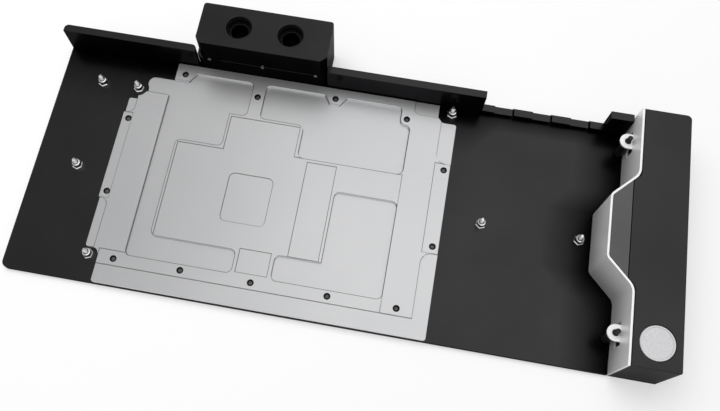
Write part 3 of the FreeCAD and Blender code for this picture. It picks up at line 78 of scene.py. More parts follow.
def vary_colour(material, height, dark, light, turns_at=(0.32, 0.68)):
    """Let the colour drift between two shades with the noise."""
    tree = material.node_tree
    ramp = tree.nodes.new("ShaderNodeValToRGB")
    for element, position, colour in zip(ramp.color_ramp.elements, turns_at, (dark, light)):
        element.position = position
        element.color = (*colour, 1)
    tree.links.new(height, ramp.inputs["Fac"])
    tree.links.new(ramp.outputs["Color"], tree.nodes["Principled BSDF"].inputs["Base Color"])


def vary_roughness(material, height, low, high):
    """Let the roughness drift between two values with the noise."""
    tree = material.node_tree
    spread = tree.nodes.new("ShaderNodeMapRange")
    spread.inputs["To Min"].default_value = low
    spread.inputs["To Max"].default_value = high
    tree.links.new(height, spread.inputs["Value"])
    tree.links.new(spread.outputs["Result"], tree.nodes["Principled BSDF"].inputs["Roughness"])


def raise_grain(material, height, strength, depth_mm):
    """Bump the surface by the noise."""
    tree = material.node_tree
    relief = tree.nodes.new("ShaderNodeBump")
    relief.inputs["Strength"].default_value = strength
    relief.inputs["Distance"].default_value = depth_mm * MM
    tree.links.new(height, relief.inputs["Height"])
    tree.links.new(relief.outputs["Normal"], tree.nodes["Principled BSDF"].inputs["Normal"])


def new_piece(name, data):
    """An object at the origin with its place in its mesh."""
    piece = bpy.data.objects.new(name, data)
    bpy.context.scene.collection.objects.link(piece)
    return piece


def settle(piece):
    """Turn a piece's modifiers into its plain mesh."""
    graph = bpy.context.evaluated_depsgraph_get()
    plain = bpy.data.meshes.new_from_object(piece.evaluated_get(graph))
    piece.modifiers.clear()
    piece.data = plain


def merged_mesh(node):
    """The node's triangles joined up where their corners meet."""
    mesh = bmesh.new()
    mesh.from_mesh(NODES[node].data)
    bmesh.ops.remove_doubles(mesh, verts=mesh.verts, dist=0.002 * MM)
    return mesh


def is_level(normal):
    """Whether a face looks straight up."""
    return normal.z > 0.99


SAME_PLANE = math.radians(0.5)
SHARP_EDGE = math.radians(32)


def softened_copy(node, name, width_mm, material, segments=2, second_finish=None,
                  takes_second=is_level):
    """A piece with the node's own shape, its sharp edges broken, some faces in a second finish."""
    mesh = merged_mesh(node)
    bmesh.ops.dissolve_limit(mesh, angle_limit=SAME_PLANE, verts=mesh.verts, edges=mesh.edges,
                             delimit={"NORMAL"})
    for face in mesh.faces:
        face.smooth = True
        face.material_index = 1 if second_finish and takes_second(face.normal) else 0
    data = bpy.data.meshes.new(name)
    mesh.to_mesh(data)
    mesh.free()
    piece = new_piece(name, data)
    edges = piece.modifiers.new("broken_edges", "BEVEL")
    edges.width = width_mm * MM
    edges.segments = segments
    edges.limit_method = "ANGLE"
    edges.angle_limit = SHARP_EDGE
    shading = piece.modifiers.new("flat_faces_stay_flat", "WEIGHTED_NORMAL")
    shading.mode = "FACE_AREA"
    shading.weight = 100
    data.materials.append(material)
    if second_finish:
        data.materials.append(second_finish)
    settle(piece)
    return piece


def mount_piece(piece, slot, *nodes):
    """Fix a piece to the part and hide the nodes it stands for; the finish slot is not used."""
    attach(piece, "root")
    if nodes:
        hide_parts(*nodes)


def feed(tree, socket, entry):
    """Give a socket a number or another node's output."""
    if isinstance(entry, (int, float)):
        socket.default_value = entry
    else:
        tree.links.new(entry, socket)


def arithmetic(tree, operation, *entries):
    """One step of arithmetic in a node tree; each entry is a number or another node's output."""
    node = tree.nodes.new("ShaderNodeMath")
    node.operation = operation
    for socket, entry in zip(node.inputs, entries):
        feed(tree, socket, entry)
    return node.outputs[0]


def ramp_between(tree, entry, low, high, start, end):
    """A smooth change from start to end as the entry goes from low to high."""
    node = tree.nodes.new("ShaderNodeMapRange")
    node.interpolation_type = "SMOOTHSTEP"
    settings = {"From Min": low, "From Max": high, "To Min": start, "To Max": end}
    for name, setting in settings.items():
        node.inputs[name].default_value = setting
    tree.links.new(entry, node.inputs["Value"])
    return node.outputs["Result"]


def place_on_part(tree):
    """Where a point of the surface lies on the part, in metres."""
    place = tree.nodes.new("ShaderNodeTexCoord")
    axes = tree.nodes.new("ShaderNodeSeparateXYZ")
    tree.links.new(place.outputs["Object"], axes.inputs[0])
    return axes.outputs


def deepen_colour(material, share):
    """Keep only a share of the finish's colour; the share may change over the surface."""
    tree = material.node_tree
    colour = tree.nodes["Principled BSDF"].inputs["Base Color"]
    scale = tree.nodes.new("ShaderNodeVectorMath")
    scale.operation = "SCALE"
    tree.links.new(colour.links[0].from_socket, scale.inputs[0])
    tree.links.new(share, scale.inputs["Scale"])
    tree.links.new(scale.outputs[0], colour)


# Sizes of the painted shade on the plate's top near its walls and the bright strip.
PLATE_TOP = 3.0 * MM
TOP_ALLOWANCE = 0.3 * MM
WALLS_Y = 51.9 * MM
FLANGE_END_X = 63.6 * MM
FLANGE_FADE = 12 * MM
FLANGE_REACH = 30 * MM
COMB_REACH = 9 * MM
LEAST_BY_WALLS = 0.22
STRIP_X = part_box("end_bar")[0].x + 11.6 * MM
NOSE_Y = -10.3 * MM
NOSE_FOOT = 28.7 * MM
NOSE_REACH = 12.8 * MM
STRIP_REACH = 25 * MM
LEAST_BY_STRIP = 0.06


def clamped(tree, entry, highest):
    """The entry, kept between zero and the highest value."""
    return arithmetic(tree, "MINIMUM", arithmetic(tree, "MAXIMUM", entry, 0.0), highest)


def paint_shade_by_walls(material):
    """Painted shade: darker colour where the top of the plate lies close under its walls and the
    strip.
    """
    tree = material.node_tree
    x, y, z = place_on_part(tree)
    wall_reach = ramp_between(tree, x, FLANGE_END_X - FLANGE_FADE, FLANGE_END_X + FLANGE_FADE,
                              FLANGE_REACH, COMB_REACH)
    from_walls = arithmetic(tree, "DIVIDE", arithmetic(tree, "SUBTRACT", WALLS_Y, y), wall_reach)
    # The strip runs along Y and steps out over the plate round the nose, by bulge.
    along = arithmetic(tree, "ABSOLUTE", arithmetic(tree, "SUBTRACT", y, NOSE_Y))
    bulge = clamped(tree, arithmetic(tree, "SUBTRACT", NOSE_FOOT, along), NOSE_REACH)
    gap = arithmetic(tree, "SUBTRACT", arithmetic(tree, "SUBTRACT", STRIP_X, x), bulge)
    from_strip = arithmetic(tree, "DIVIDE", gap, STRIP_REACH)
    shades = [arithmetic(tree, "MULTIPLY_ADD", clamped(tree, distance, 1.0), 1.0 - least, least)
              for distance, least in ((from_walls, LEAST_BY_WALLS), (from_strip, LEAST_BY_STRIP))]
    lost = arithmetic(tree, "SUBTRACT", 1.0, arithmetic(tree, "MULTIPLY", *shades))
    on_top = arithmetic(tree, "COMPARE", z, PLATE_TOP, TOP_ALLOWANCE)
    deepen_colour(material, arithmetic(
        tree, "SUBTRACT", 1.0, arithmetic(tree, "MULTIPLY", on_top, lost)))


black_anodised = finish_material("black_anodised", (0.043, 0.043, 0.044), 0.26, metallic=0.97,
                                 tint=(0.2, 0.2, 0.21))
vary_colour(black_anodised, cloud(black_anodised, 22), (0.041, 0.041, 0.042),
            (0.048, 0.048, 0.049))
# Painted shade darkens the plate's colour close under its walls and the strip.
paint_shade_by_walls(black_anodised)
vary_roughness(black_anodised, cloud(black_anodised, 60), 0.22, 0.30)
raise_grain(black_anodised, cloud(black_anodised, 3800), 0.25, 0.02)
backplate = softened_copy("backplate", "backplate_milled", 0.25, black_anodised)
mount_piece(backplate, "black_aluminium", "backplate")


# Flow cover: a plate of black acetal let into the backplate, milled with the coolant channels
# on its inner side. Its outer side keeps the straight lay of the facing cutter.
black_acetal = finish_material("black_acetal", (0.042, 0.042, 0.043), 0.22, metallic=1.0,
                               tint=(0, 0, 0))
vary_colour(black_acetal, cloud(black_acetal, 35), (0.039, 0.039, 0.040), (0.046, 0.046, 0.047))
vary_roughness(black_acetal, cloud(black_acetal, 90, stretch=(1, 12, 1)), 0.19, 0.26)
raise_grain(black_acetal, cloud(black_acetal, 1400, stretch=(1, 18, 1)), 0.1, 0.01)
flow_cover = softened_copy("flow_cover", "flow_cover_milled", 0.15, black_acetal)
mount_piece(flow_cover, "black_acetal", "flow_cover")


# Seals: cords of black nitrile rubber pressed into milled grooves. They are hidden once the
# block is put together, so the solids themselves carry the finish.
def paint_nodes(material, *nodes):
    """Give solids that stay in the scene their finish."""
    for node in nodes:
        NODES[node].data.materials.clear()
        NODES[node].data.materials.append(material)


seal_rubber = finish_material("seal_rubber", (0.012, 0.012, 0.012), 0.55)
vary_colour(seal_rubber, cloud(seal_rubber, 120), (0.009, 0.009, 0.009), (0.016, 0.016, 0.016))
vary_roughness(seal_rubber, cloud(seal_rubber, 400), 0.48, 0.62)
paint_nodes(seal_rubber, "cover_seal", "terminal_seals", "bridge_seals")


# Cold plate: copper milled in steps to suit the parts on the back of the board, its edges
# deburred, then nickel plated to an even satin shine. Painted shade darkens the nickel toward the
# left end, walls that face the front edge carry a painted highlight, and painted shade draws a
# thin dark line along the foot and top of a step.
DEEPEST_X = -115 * MM
DEEPEST_SHARE = 0.82

nickel_plate = finish_material("nickel_plate", (0.70, 0.70, 0.71), 0.38, metallic=0.74)
vary_colour(nickel_plate, cloud(nickel_plate, 12), (0.675, 0.68, 0.69), (0.72, 0.722, 0.73))
vary_roughness(nickel_plate, cloud(nickel_plate, 70, stretch=(1, 6, 1)), 0.34, 0.42)
raise_grain(nickel_plate, cloud(nickel_plate, 2600), 0.12, 0.012)
bath = nickel_plate.node_tree
# Painted shade: the nickel's colour is darker toward the left end.
deepen_colour(nickel_plate, ramp_between(bath, place_on_part(bath)[0], DEEPEST_X, 0.0,
                                         DEEPEST_SHARE, 1.0))
# A lighter copy of the nickel for walls that face the front edge: a painted highlight.
nickel_painted_highlight = finish_material("nickel_painted_highlight", (0.93, 0.93, 0.94), 0.3, metallic=0.3)
vary_colour(nickel_painted_highlight, cloud(nickel_painted_highlight, 60), (0.90, 0.90, 0.91), (0.95, 0.95, 0.96))
vary_roughness(nickel_painted_highlight, cloud(nickel_painted_highlight, 200, stretch=(1, 1, 8)), 0.26, 0.36)


def faces_front(normal):
    """Whether a wall of the cold plate faces the front edge of the part."""
    return normal.y < -0.7


cold_plate = softened_copy("cold_plate", "cold_plate_milled", 0.12, nickel_plate,
                           second_finish=nickel_painted_highlight, takes_second=faces_front)
mount_piece(cold_plate, "nickel_copper", "cold_plate")

# Sizes of the thin rims of painted shade along the cold plate's steps.
RIM_WIDTH = 0.24 * MM
THIN_RIM_SHARE = 0.6
RIM_LIFT = Vector((0, 0, 0.01 * MM))
LOWEST_STEP_FOOT = 3.2 * MM
SHALLOW_STEP = 0.6 * MM


def rim_share(wall, level):
    """How much of the full width a rim at this level of a wall has; 0 where it has no rim."""
    heights = [vert.co.z for vert in wall.verts]
    if abs(wall.normal.z) > 0.1 or min(heights) < LOWEST_STEP_FOOT:
        return 0
    if max(heights) - min(heights) < SHALLOW_STEP:
        return THIN_RIM_SHARE
    if wall.normal.x > 0.7 and level > min(heights):
        return 0
    if faces_front(wall.normal):
        return THIN_RIM_SHARE if level == max(heights) else 0
    return 1


def painted_shade_rims(node, name, material):
    """Thin rims of painted shade on the level faces along every upright step of a node."""
    mesh = merged_mesh(node)
    runs = []
    inward = {}
    level_faces = [face for face in mesh.faces if is_level(face.normal)]
    for corner in (corner for face in level_faces for corner in face.loops):
        start, end = corner.vert, corner.link_loop_next.vert
        share = rim_share(corner.link_loop_radial_next.face, start.co.z)
        if share:
            runs.append((start, end, RIM_WIDTH * share))
            side = corner.face.normal.cross(end.co - start.co).normalized()
            for vert in (start, end):
                inward.setdefault(vert, []).append(side)
    corners = []
    for start, end, width in runs:
        inner = []
        for vert in (start, end):
            sides = inward[vert]
            turn = sum(sides, Vector())
            inner.append(vert.co + turn * (width * len(sides) / max(turn.length_squared, 1)))
        corners += [point + RIM_LIFT for point in (start.co, end.co, inner[1], inner[0])]
    mesh.free()
    data = bpy.data.meshes.new(name)
    data.from_pydata([tuple(corner) for corner in corners], [],
                     [tuple(range(first, first + 4)) for first in range(0, len(corners), 4)])
    data.materials.append(material)
    return new_piece(name, data)


# Near-black nickel for the rims: painted shade along the steps.
nickel_painted_shade = finish_material("nickel_painted_shade", (0.10, 0.10, 0.102), 0.4, metallic=0.7)
vary_colour(nickel_painted_shade, cloud(nickel_painted_shade, 40), (0.085, 0.085, 0.087), (0.12, 0.12, 0.122))
vary_roughness(nickel_painted_shade, cloud(nickel_painted_shade, 140), 0.34, 0.46)
plate_shade_rims = painted_shade_rims("cold_plate", "cold_plate_painted_shade_rims", nickel_painted_shade)
mount_piece(plate_shade_rims, "nickel_copper")


# Screws from the outer side: blackened steel with turned heads, hexagon sockets and rolled
# threads, sunk in the plate. The cover's screws reach up into the cold plate's tapped bores,
# where their cut ends show deep in bores lined with near-black painted shade.
def tree_node(tree, kind, **settings):
    """A node of a geometry tree with its sockets and properties set by name."""
    node = tree.nodes.new(kind)
    for name, setting in settings.items():
        if hasattr(node, name):
            setattr(node, name, setting)
        else:
            node.inputs[name.replace("_", " ")].default_value = setting
    return node


def new_tree(name, sizes):
    """An empty geometry tree with named inputs for its sizes, in metres."""
    tree = bpy.data.node_groups.new(name, "GeometryNodeTree")
    tree.interface.new_socket("Geometry", in_out="INPUT", socket_type="NodeSocketGeometry")
    tree.interface.new_socket("Geometry", in_out="OUTPUT", socket_type="NodeSocketGeometry")
    for size, default in sizes.items():
        socket = tree.interface.new_socket(size, in_out="INPUT", socket_type="NodeSocketFloat")
        socket.default_value = default
    incoming = tree.nodes.new("NodeGroupInput")
    outgoing = tree.nodes.new("NodeGroupOutput")
    return tree, incoming.outputs, outgoing.inputs["Geometry"]


def raised(tree, geometry, height):
    """The geometry moved up."""
    lift = tree.nodes.new("ShaderNodeCombineXYZ")
    feed(tree, lift.inputs["Z"], height)
    move = tree.nodes.new("GeometryNodeTransform")
    tree.links.new(geometry, move.inputs["Geometry"])
    tree.links.new(lift.outputs[0], move.inputs["Translation"])
    return move.outputs["Geometry"]


def rounded(tree, solid, sides):
    """Smooth shading on the side of a turned solid, none on a hexagon."""
    rounding = tree_node(tree, "GeometryNodeSetShadeSmooth", Shade_Smooth=sides > 8)
    tree.links.new(solid.outputs["Mesh"], rounding.inputs["Geometry"])
    tree.links.new(solid.outputs["Side"], rounding.inputs["Selection"])
    return rounding.outputs["Geometry"]


def shaft(tree, radius, depth, low, sides):
    """A round or many-sided shaft whose foot stands at the height low."""
    body = tree_node(tree, "GeometryNodeMeshCylinder", Vertices=sides)
    tree.links.new(radius, body.inputs["Radius"])
    tree.links.new(depth, body.inputs["Depth"])
    middle = arithmetic(tree, "MULTIPLY_ADD", depth, 0.5, low)
    return raised(tree, rounded(tree, body, sides), middle)


def thread(tree, radius, depth, low, pitch, ridge):
    """A helical ridge of triangular section wound on a shaft."""
    coil = tree_node(tree, "GeometryNodeCurveSpiral", Resolution=20)
    tree.links.new(arithmetic(tree, "DIVIDE", depth, pitch), coil.inputs["Rotations"])
    tree.links.new(radius, coil.inputs["Start Radius"])
    tree.links.new(radius, coil.inputs["End Radius"])
    tree.links.new(depth, coil.inputs["Height"])
    section = tree_node(tree, "GeometryNodeCurvePrimitiveCircle", Resolution=4)
    tree.links.new(ridge, section.inputs["Radius"])
    sweep = tree_node(tree, "GeometryNodeCurveToMesh", Fill_Caps=True)
    tree.links.new(coil.outputs["Curve"], sweep.inputs["Curve"])
    tree.links.new(section.outputs["Curve"], sweep.inputs["Profile Curve"])
    return raised(tree, sweep.outputs["Mesh"], low)


def finish_tree(tree, outgoing, points, parts, material):
    """Put the joined parts on each point, real and finished; gives the node that places them."""
    join = tree.nodes.new("GeometryNodeJoinGeometry")
    for part in parts:
        tree.links.new(part, join.inputs["Geometry"])
    place = tree.nodes.new("GeometryNodeInstanceOnPoints")
    tree.links.new(points, place.inputs["Points"])
    tree.links.new(join.outputs["Geometry"], place.inputs["Instance"])
    real = tree.nodes.new("GeometryNodeRealizeInstances")
    tree.links.new(place.outputs["Instances"], real.inputs["Geometry"])
    paint = tree_node(tree, "GeometryNodeSetMaterial", Material=material)
    tree.links.new(real.outputs["Geometry"], paint.inputs["Geometry"])
    tree.links.new(paint.outputs["Geometry"], outgoing)
    return place


def solids_of(*nodes):
    """The lowest and highest corners of each separate solid in the nodes' meshes."""
    corners = []
    for node in nodes:
        mesh = merged_mesh(node)
        seen = set()
        for first in mesh.verts:
            if first in seen:
                continue
            seen.add(first)
            group = [first]
            for vert in group:  # the group grows while it is walked
                for edge in vert.link_edges:
                    other = edge.other_vert(vert)
                    if other not in seen:
                        seen.add(other)
                        group.append(other)
            corners.append((Vector([min(vert.co[axis] for vert in group) for axis in range(3)]),
                            Vector([max(vert.co[axis] for vert in group) for axis in range(3)])))
        mesh.free()
    return corners


def feet_of(*nodes):
    """The middle of the foot of each separate solid in the nodes' meshes."""
    return [((low.x + high.x) / 2, (low.y + high.y) / 2, low.z) for low, high in solids_of(*nodes)]


def scattered(name, tree, spots, **sizes):
    """A piece that the tree builds on every spot, with its sizes set, as a plain mesh."""
    data = bpy.data.meshes.new(name)
    data.from_pydata([tuple(spot) for spot in spots], [], [])
    piece = new_piece(name, data)
    maker = piece.modifiers.new("maker", "NODES")
    maker.node_group = tree
    for socket in tree.interface.items_tree:
        if socket.in_out == "INPUT" and socket.name in sizes:
            maker[socket.identifier] = sizes[socket.name]
    settle(piece)
    return piece


def screw_tree(name, material, turn=0.0):
    """Geometry tree of a socket screw that stands on its head, its shank pointing up."""
    tree, get, outgoing = new_tree(name, {
        "head_radius": 2.6 * MM, "head_height": 1.6 * MM, "socket_radius": 1.15 * MM,
        "socket_depth": 0.9 * MM, "shank_radius": 1.25 * MM, "shank_length": 3.0 * MM,
        "thread_pitch": 0.5 * MM, "thread_ridge": 0.14 * MM})
    cut = tree_node(tree, "GeometryNodeMeshBoolean", operation="DIFFERENCE")
    tree.links.new(shaft(tree, get["head_radius"], get["head_height"], 0.0, 40),
                   cut.inputs["Mesh 1"])
    tree.links.new(shaft(tree, get["socket_radius"], get["socket_depth"], 0.0, 6),
                   cut.inputs["Mesh 2"])
    shank = shaft(tree, get["shank_radius"], get["shank_length"], get["head_height"], 24)
    ridge = thread(tree, get["shank_radius"], get["shank_length"], get["head_height"],
                   get["thread_pitch"], get["thread_ridge"])
    place = finish_tree(tree, outgoing, get["Geometry"], [cut.outputs["Mesh"], shank, ridge],
                        material)
    place.inputs["Rotation"].default_value = (turn, 0, 0)
    return tree


black_steel = finish_material("black_steel", (0.03, 0.03, 0.032), 0.34, metallic=0.7)
vary_colour(black_steel, cloud(black_steel, 260), (0.022, 0.022, 0.024), (0.045, 0.045, 0.047))
vary_roughness(black_steel, cloud(black_steel, 500), 0.28, 0.42)
black_screw = screw_tree("black_screw", black_steel)

cover_screws = scattered("cover_screws_threaded", black_screw, feet_of("cover_screws"))
mount_piece(cover_screws, "black_steel", "cover_screws")


def turned(name, profile, centres, material, closed=False, sides=96):
    """A piece turned to a profile of (radius, height) about each centre, capped unless closed."""
    mesh = bmesh.new()
    for centre in centres:
        rings = [[mesh.verts.new((centre[0] + radius * math.cos(2 * math.pi * step / sides),
                                  centre[1] + radius * math.sin(2 * math.pi * step / sides),
                                  centre[2] + height)) for step in range(sides)]
                 for radius, height in profile]
        for lower, upper in zip(rings, rings[1:] + rings[:1] if closed else rings[1:]):
            for step in range(sides):
                after = (step + 1) % sides
                mesh.faces.new((lower[step], lower[after], upper[after], upper[step]))
        if not closed:
            mesh.faces.new(rings[0][::-1])
            mesh.faces.new(rings[-1])
    data = bpy.data.meshes.new(name)
    mesh.to_mesh(data)
    mesh.free()
    data.materials.append(material)
    return new_piece(name, data)


BORE_REACH = 2.2 * MM
BORE_RADIUS = 1.44 * MM
BORE_CHAMFER = 0.26 * MM
LINER_FOOT = -0.58 * MM
LINER_WALL = 0.05 * MM
LINER_FLOOR = 0.03 * MM
MOUTH_LIFT = 0.01 * MM
LINER_INNER = 0.94 * MM
SCREW_END_RADIUS = 0.93 * MM
SCREW_END_EDGE = 0.04 * MM
SCREW_TIP_RADIUS = 0.7 * MM
SCREW_TIP_HEIGHT = 0.07 * MM

# Near-black for places that are only in shade: painted shade.
painted_shade_black = finish_material("painted_shade_black", (0.006, 0.006, 0.006), 0.6, specular=0.1)
vary_colour(painted_shade_black, cloud(painted_shade_black, 400), (0.004, 0.004, 0.004), (0.009, 0.009, 0.009))
vary_roughness(painted_shade_black, cloud(painted_shade_black, 800), 0.5, 0.7)
plate_points = [vert.co for vert in NODES["cold_plate"].data.vertices]
bore_mouths = []
screw_tips = []
for low, high in solids_of("cover_screws"):
    axis = (low + high) / 2
    mouth = max(point.z for point in plate_points if (point - axis).xy.length < BORE_REACH)
    bore_mouths.append((axis.x, axis.y, mouth))
    screw_tips.append((axis.x, axis.y, high.z))
liner_outer = BORE_RADIUS + LINER_WALL
mouth_radius = liner_outer + BORE_CHAMFER
chamfer_foot = MOUTH_LIFT - BORE_CHAMFER
# A black liner in each tapped bore: painted shade.
bore_shade_liners = turned("cold_plate_bore_shade_liners", [
    (LINER_INNER, LINER_FOOT), (liner_outer, LINER_FOOT), (liner_outer, chamfer_foot),
    (mouth_radius, MOUTH_LIFT), (mouth_radius - LINER_WALL, MOUTH_LIFT),
    (BORE_RADIUS, chamfer_foot), (BORE_RADIUS, LINER_FOOT + LINER_FLOOR),
    (LINER_INNER, LINER_FOOT + LINER_FLOOR)], bore_mouths, painted_shade_black, closed=True, sides=40)
mount_piece(bore_shade_liners, "nickel_copper")

cut_steel = finish_material("cut_steel", (0.08, 0.08, 0.082), 0.4, metallic=0.3)
vary_colour(cut_steel, cloud(cut_steel, 400), (0.065, 0.065, 0.067), (0.095, 0.095, 0.097))
vary_roughness(cut_steel, cloud(cut_steel, 800), 0.35, 0.5)
screw_ends = turned("cover_screw_ends", [
    (SCREW_END_RADIUS, 0), (SCREW_END_RADIUS, SCREW_END_EDGE),
    (SCREW_TIP_RADIUS, SCREW_TIP_HEIGHT)], screw_tips, cut_steel, sides=32)
mount_piece(screw_ends, "black_steel")

terminal_screws = scattered("terminal_screws_threaded", black_screw, feet_of("terminal_screws"),
                            head_radius=2.75 * MM, head_height=1.9 * MM,
                            socket_radius=1.3 * MM, socket_depth=1.0 * MM,
                            shank_radius=1.36 * MM, shank_length=21.8 * MM)
mount_piece(terminal_screws, "black_steel", "terminal_screws")

end_bar_screws = scattered("end_bar_screws_threaded", black_screw, feet_of("end_bar_screws"),
                           head_radius=2.8 * MM, shank_radius=1.36 * MM, shank_length=8.2 * MM)
mount_piece(end_bar_screws, "black_steel", "end_bar_screws")


# Terminal: two blocks of black acetal clamped on the cover's tongue. The upper one has two
# tapped ports, each with a turned seat, and broken edges all round. Three small steel screws
# hold the lower one from the front.
terminal_bridge = softened_copy("terminal_bridge", "terminal_bridge_milled", 0.2, black_acetal)
mount_piece(terminal_bridge, "black_acetal", "terminal_bridge")
terminal_block = softened_copy("terminal_block", "terminal_block_milled", 0.35, black_acetal, 3)
mount_piece(terminal_block, "black_acetal", "terminal_block")

PORT_SPACING = 27.3 * MM
PORT_RADIUS = 6.58 * MM
PORT_FROM_FRONT = 12.4 * MM
PORT_DEPTH = 5.0 * MM
SEAT_RADIUS = 4.7 * MM
SEAT_THICKNESS = 1.2 * MM
SEAT_OUTER = 5.98 * MM
LIP_WIDTH = 0.3 * MM
LIP_HEIGHT = 0.25 * MM

block_low, block_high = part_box("terminal_block")
port_spots = [((block_low.x + block_high.x) / 2 + side * PORT_SPACING / 2,
               block_low.y + PORT_FROM_FRONT, block_high.z - PORT_DEPTH) for side in (-1, 1)]
# Near-black acetal for the port threads and seats: painted shade inside the ports.
acetal_painted_shade = finish_material("acetal_painted_shade", (0.004, 0.004, 0.004), 0.6, specular=0.1)
vary_colour(acetal_painted_shade, cloud(acetal_painted_shade, 300), (0.003, 0.003, 0.003), (0.006, 0.006, 0.006))
vary_roughness(acetal_painted_shade, cloud(acetal_painted_shade, 600), 0.55, 0.68)
tree, get, outgoing = new_tree("port_thread", {
    "wall_radius": PORT_RADIUS, "thread_length": 4.3 * MM, "thread_pitch": 1.337 * MM,
    "thread_ridge": 0.62 * MM})
finish_tree(tree, outgoing, get["Geometry"], [
    thread(tree, get["wall_radius"], get["thread_length"], 0.0, get["thread_pitch"],
           get["thread_ridge"])], acetal_painted_shade)
port_threads = scattered("port_threads", tree, port_spots)
mount_piece(port_threads, "black_acetal")

port_seats = turned("port_seats", [
    (SEAT_RADIUS, -SEAT_THICKNESS), (SEAT_OUTER, -SEAT_THICKNESS), (SEAT_OUTER, 0),
    (SEAT_RADIUS, 0)], port_spots, acetal_painted_shade, closed=True)
mount_piece(port_seats, "black_acetal")
cut_acetal = finish_material("cut_acetal", (0.045, 0.045, 0.046), 0.3)
vary_colour(cut_acetal, cloud(cut_acetal, 300), (0.035, 0.035, 0.036), (0.055, 0.055, 0.056))
vary_roughness(cut_acetal, cloud(cut_acetal, 600), 0.24, 0.36)
port_lips = turned("port_lips", [
    (SEAT_RADIUS, 0), (SEAT_RADIUS + LIP_WIDTH, 0), (SEAT_RADIUS + LIP_WIDTH / 2, LIP_HEIGHT)],
    port_spots, cut_acetal, closed=True)
mount_piece(port_lips, "black_acetal")

dull_steel = finish_material("dull_steel", (0.30, 0.30, 0.31), 0.35, metallic=0.9)
vary_colour(dull_steel, cloud(dull_steel, 260), (0.26, 0.26, 0.27), (0.34, 0.34, 0.35))
vary_roughness(dull_steel, cloud(dull_steel, 500), 0.30, 0.42)
front_screw = screw_tree("front_screw", dull_steel, -math.pi / 2)
front_screws = scattered("terminal_front_screws_turned", front_screw,
                         [((low.x + high.x) / 2, low.y, (low.z + high.z) / 2)
                          for low, high in solids_of("terminal_front_screws")],
                         head_radius=0.8 * MM, head_height=0.5 * MM, socket_radius=0.42 * MM,
                         socket_depth=0.3 * MM, shank_radius=0.52 * MM, shank_length=3.9 * MM,
                         thread_pitch=0.3 * MM, thread_ridge=0.07 * MM)
mount_piece(front_screws, "bright_steel", "terminal_front_screws")


# Standoffs: turned from bright hexagon bar, with a groove above the hexagon, a collar that the
# board rests on and a rolled thread. Each is screwed into the backplate by its root.
turned_steel = finish_material("turned_steel", (0.93, 0.93, 0.94), 0.12, metallic=1.0)
vary_colour(turned_steel, cloud(turned_steel, 240), (0.90, 0.90, 0.91), (0.96, 0.96, 0.97))
vary_roughness(turned_steel, cloud(turned_steel, 500), 0.09, 0.15)


def taper(tree, low_radius, high_radius, depth, low, sides):
    """A broken edge: a short cone between two radii whose foot stands at the height low."""
    cone = tree_node(tree, "GeometryNodeMeshCone", Vertices=sides)
    tree.links.new(low_radius, cone.inputs["Radius Bottom"])
    tree.links.new(high_radius, cone.inputs["Radius Top"])
    tree.links.new(depth, cone.inputs["Depth"])
    return raised(tree, rounded(tree, cone, sides), low)


LEAST_TURN = math.radians(16)
MOST_TURN = math.radians(40)
TURN_SEED = 4


def turn_by_chance(tree, place):
    """Each standoff stops at its own turn, as a screwed-in piece does."""
    chance = tree_node(tree, "FunctionNodeRandomValue", data_type="FLOAT", Seed=TURN_SEED)
    least, most = chance.inputs[2:4]  # the pair for a plain number; a vector's come before it
    least.default_value = LEAST_TURN
    most.default_value = MOST_TURN
    turn = tree.nodes.new("ShaderNodeCombineXYZ")
    tree.links.new(chance.outputs[1], turn.inputs["Z"])
    tree.links.new(turn.outputs[0], place.inputs["Rotation"])


tree, get, outgoing = new_tree("standoff", {
    "hexagon_radius": 2.887 * MM, "hexagon_height": 1.5 * MM, "hexagon_edge_radius": 2.45 * MM,
    "edge_height": 0.4 * MM, "neck_radius": 1.3 * MM, "neck_height": 1.0 * MM,
    "collar_radius": 2.0 * MM, "collar_height": 1.4 * MM, "collar_edge_radius": 1.5 * MM,
    "collar_edge_height": 0.3 * MM, "stud_radius": 0.98 * MM, "stud_height": 3.1 * MM,
    "tip_radius": 0.6 * MM, "tip_height": 0.4 * MM, "thread_pitch": 0.45 * MM,
    "thread_ridge": 0.13 * MM, "root_radius": 1.25 * MM, "root_length": 2.0 * MM,
    "root_foot": -2.0 * MM})
neck_foot = arithmetic(tree, "ADD", get["hexagon_height"], get["edge_height"])
collar_foot = arithmetic(tree, "ADD", neck_foot, get["neck_height"])
collar_edge = arithmetic(tree, "ADD", collar_foot, get["collar_height"])
stud_foot = arithmetic(tree, "ADD", collar_edge, get["collar_edge_height"])
tip_foot = arithmetic(tree, "ADD", stud_foot, get["stud_height"])
place = finish_tree(tree, outgoing, get["Geometry"], [
    shaft(tree, get["hexagon_radius"], get["hexagon_height"], 0.0, 6),
    taper(tree, get["hexagon_radius"], get["hexagon_edge_radius"], get["edge_height"],
          get["hexagon_height"], 6),
    shaft(tree, get["neck_radius"], get["neck_height"], neck_foot, 28),
    shaft(tree, get["collar_radius"], get["collar_height"], collar_foot, 36),
    taper(tree, get["collar_radius"], get["collar_edge_radius"], get["collar_edge_height"],
          collar_edge, 36),
    shaft(tree, get["stud_radius"], get["stud_height"], stud_foot, 24),
    taper(tree, get["stud_radius"], get["tip_radius"], get["tip_height"], tip_foot, 24),
    shaft(tree, get["root_radius"], get["root_length"], get["root_foot"], 24),
    thread(tree, get["stud_radius"], get["stud_height"], stud_foot, get["thread_pitch"],
           get["thread_ridge"])], turned_steel)
turn_by_chance(tree, place)
STANDOFF_NODES = sorted(node for node in NODES if node.startswith("standoff_"))
standoff_spots = [(x, y, PLATE_TOP) for x, y, foot in feet_of(*STANDOFF_NODES)]
standoffs = scattered("standoffs_turned", tree, standoff_spots)
mount_piece(standoffs, "bright_steel", *STANDOFF_NODES)

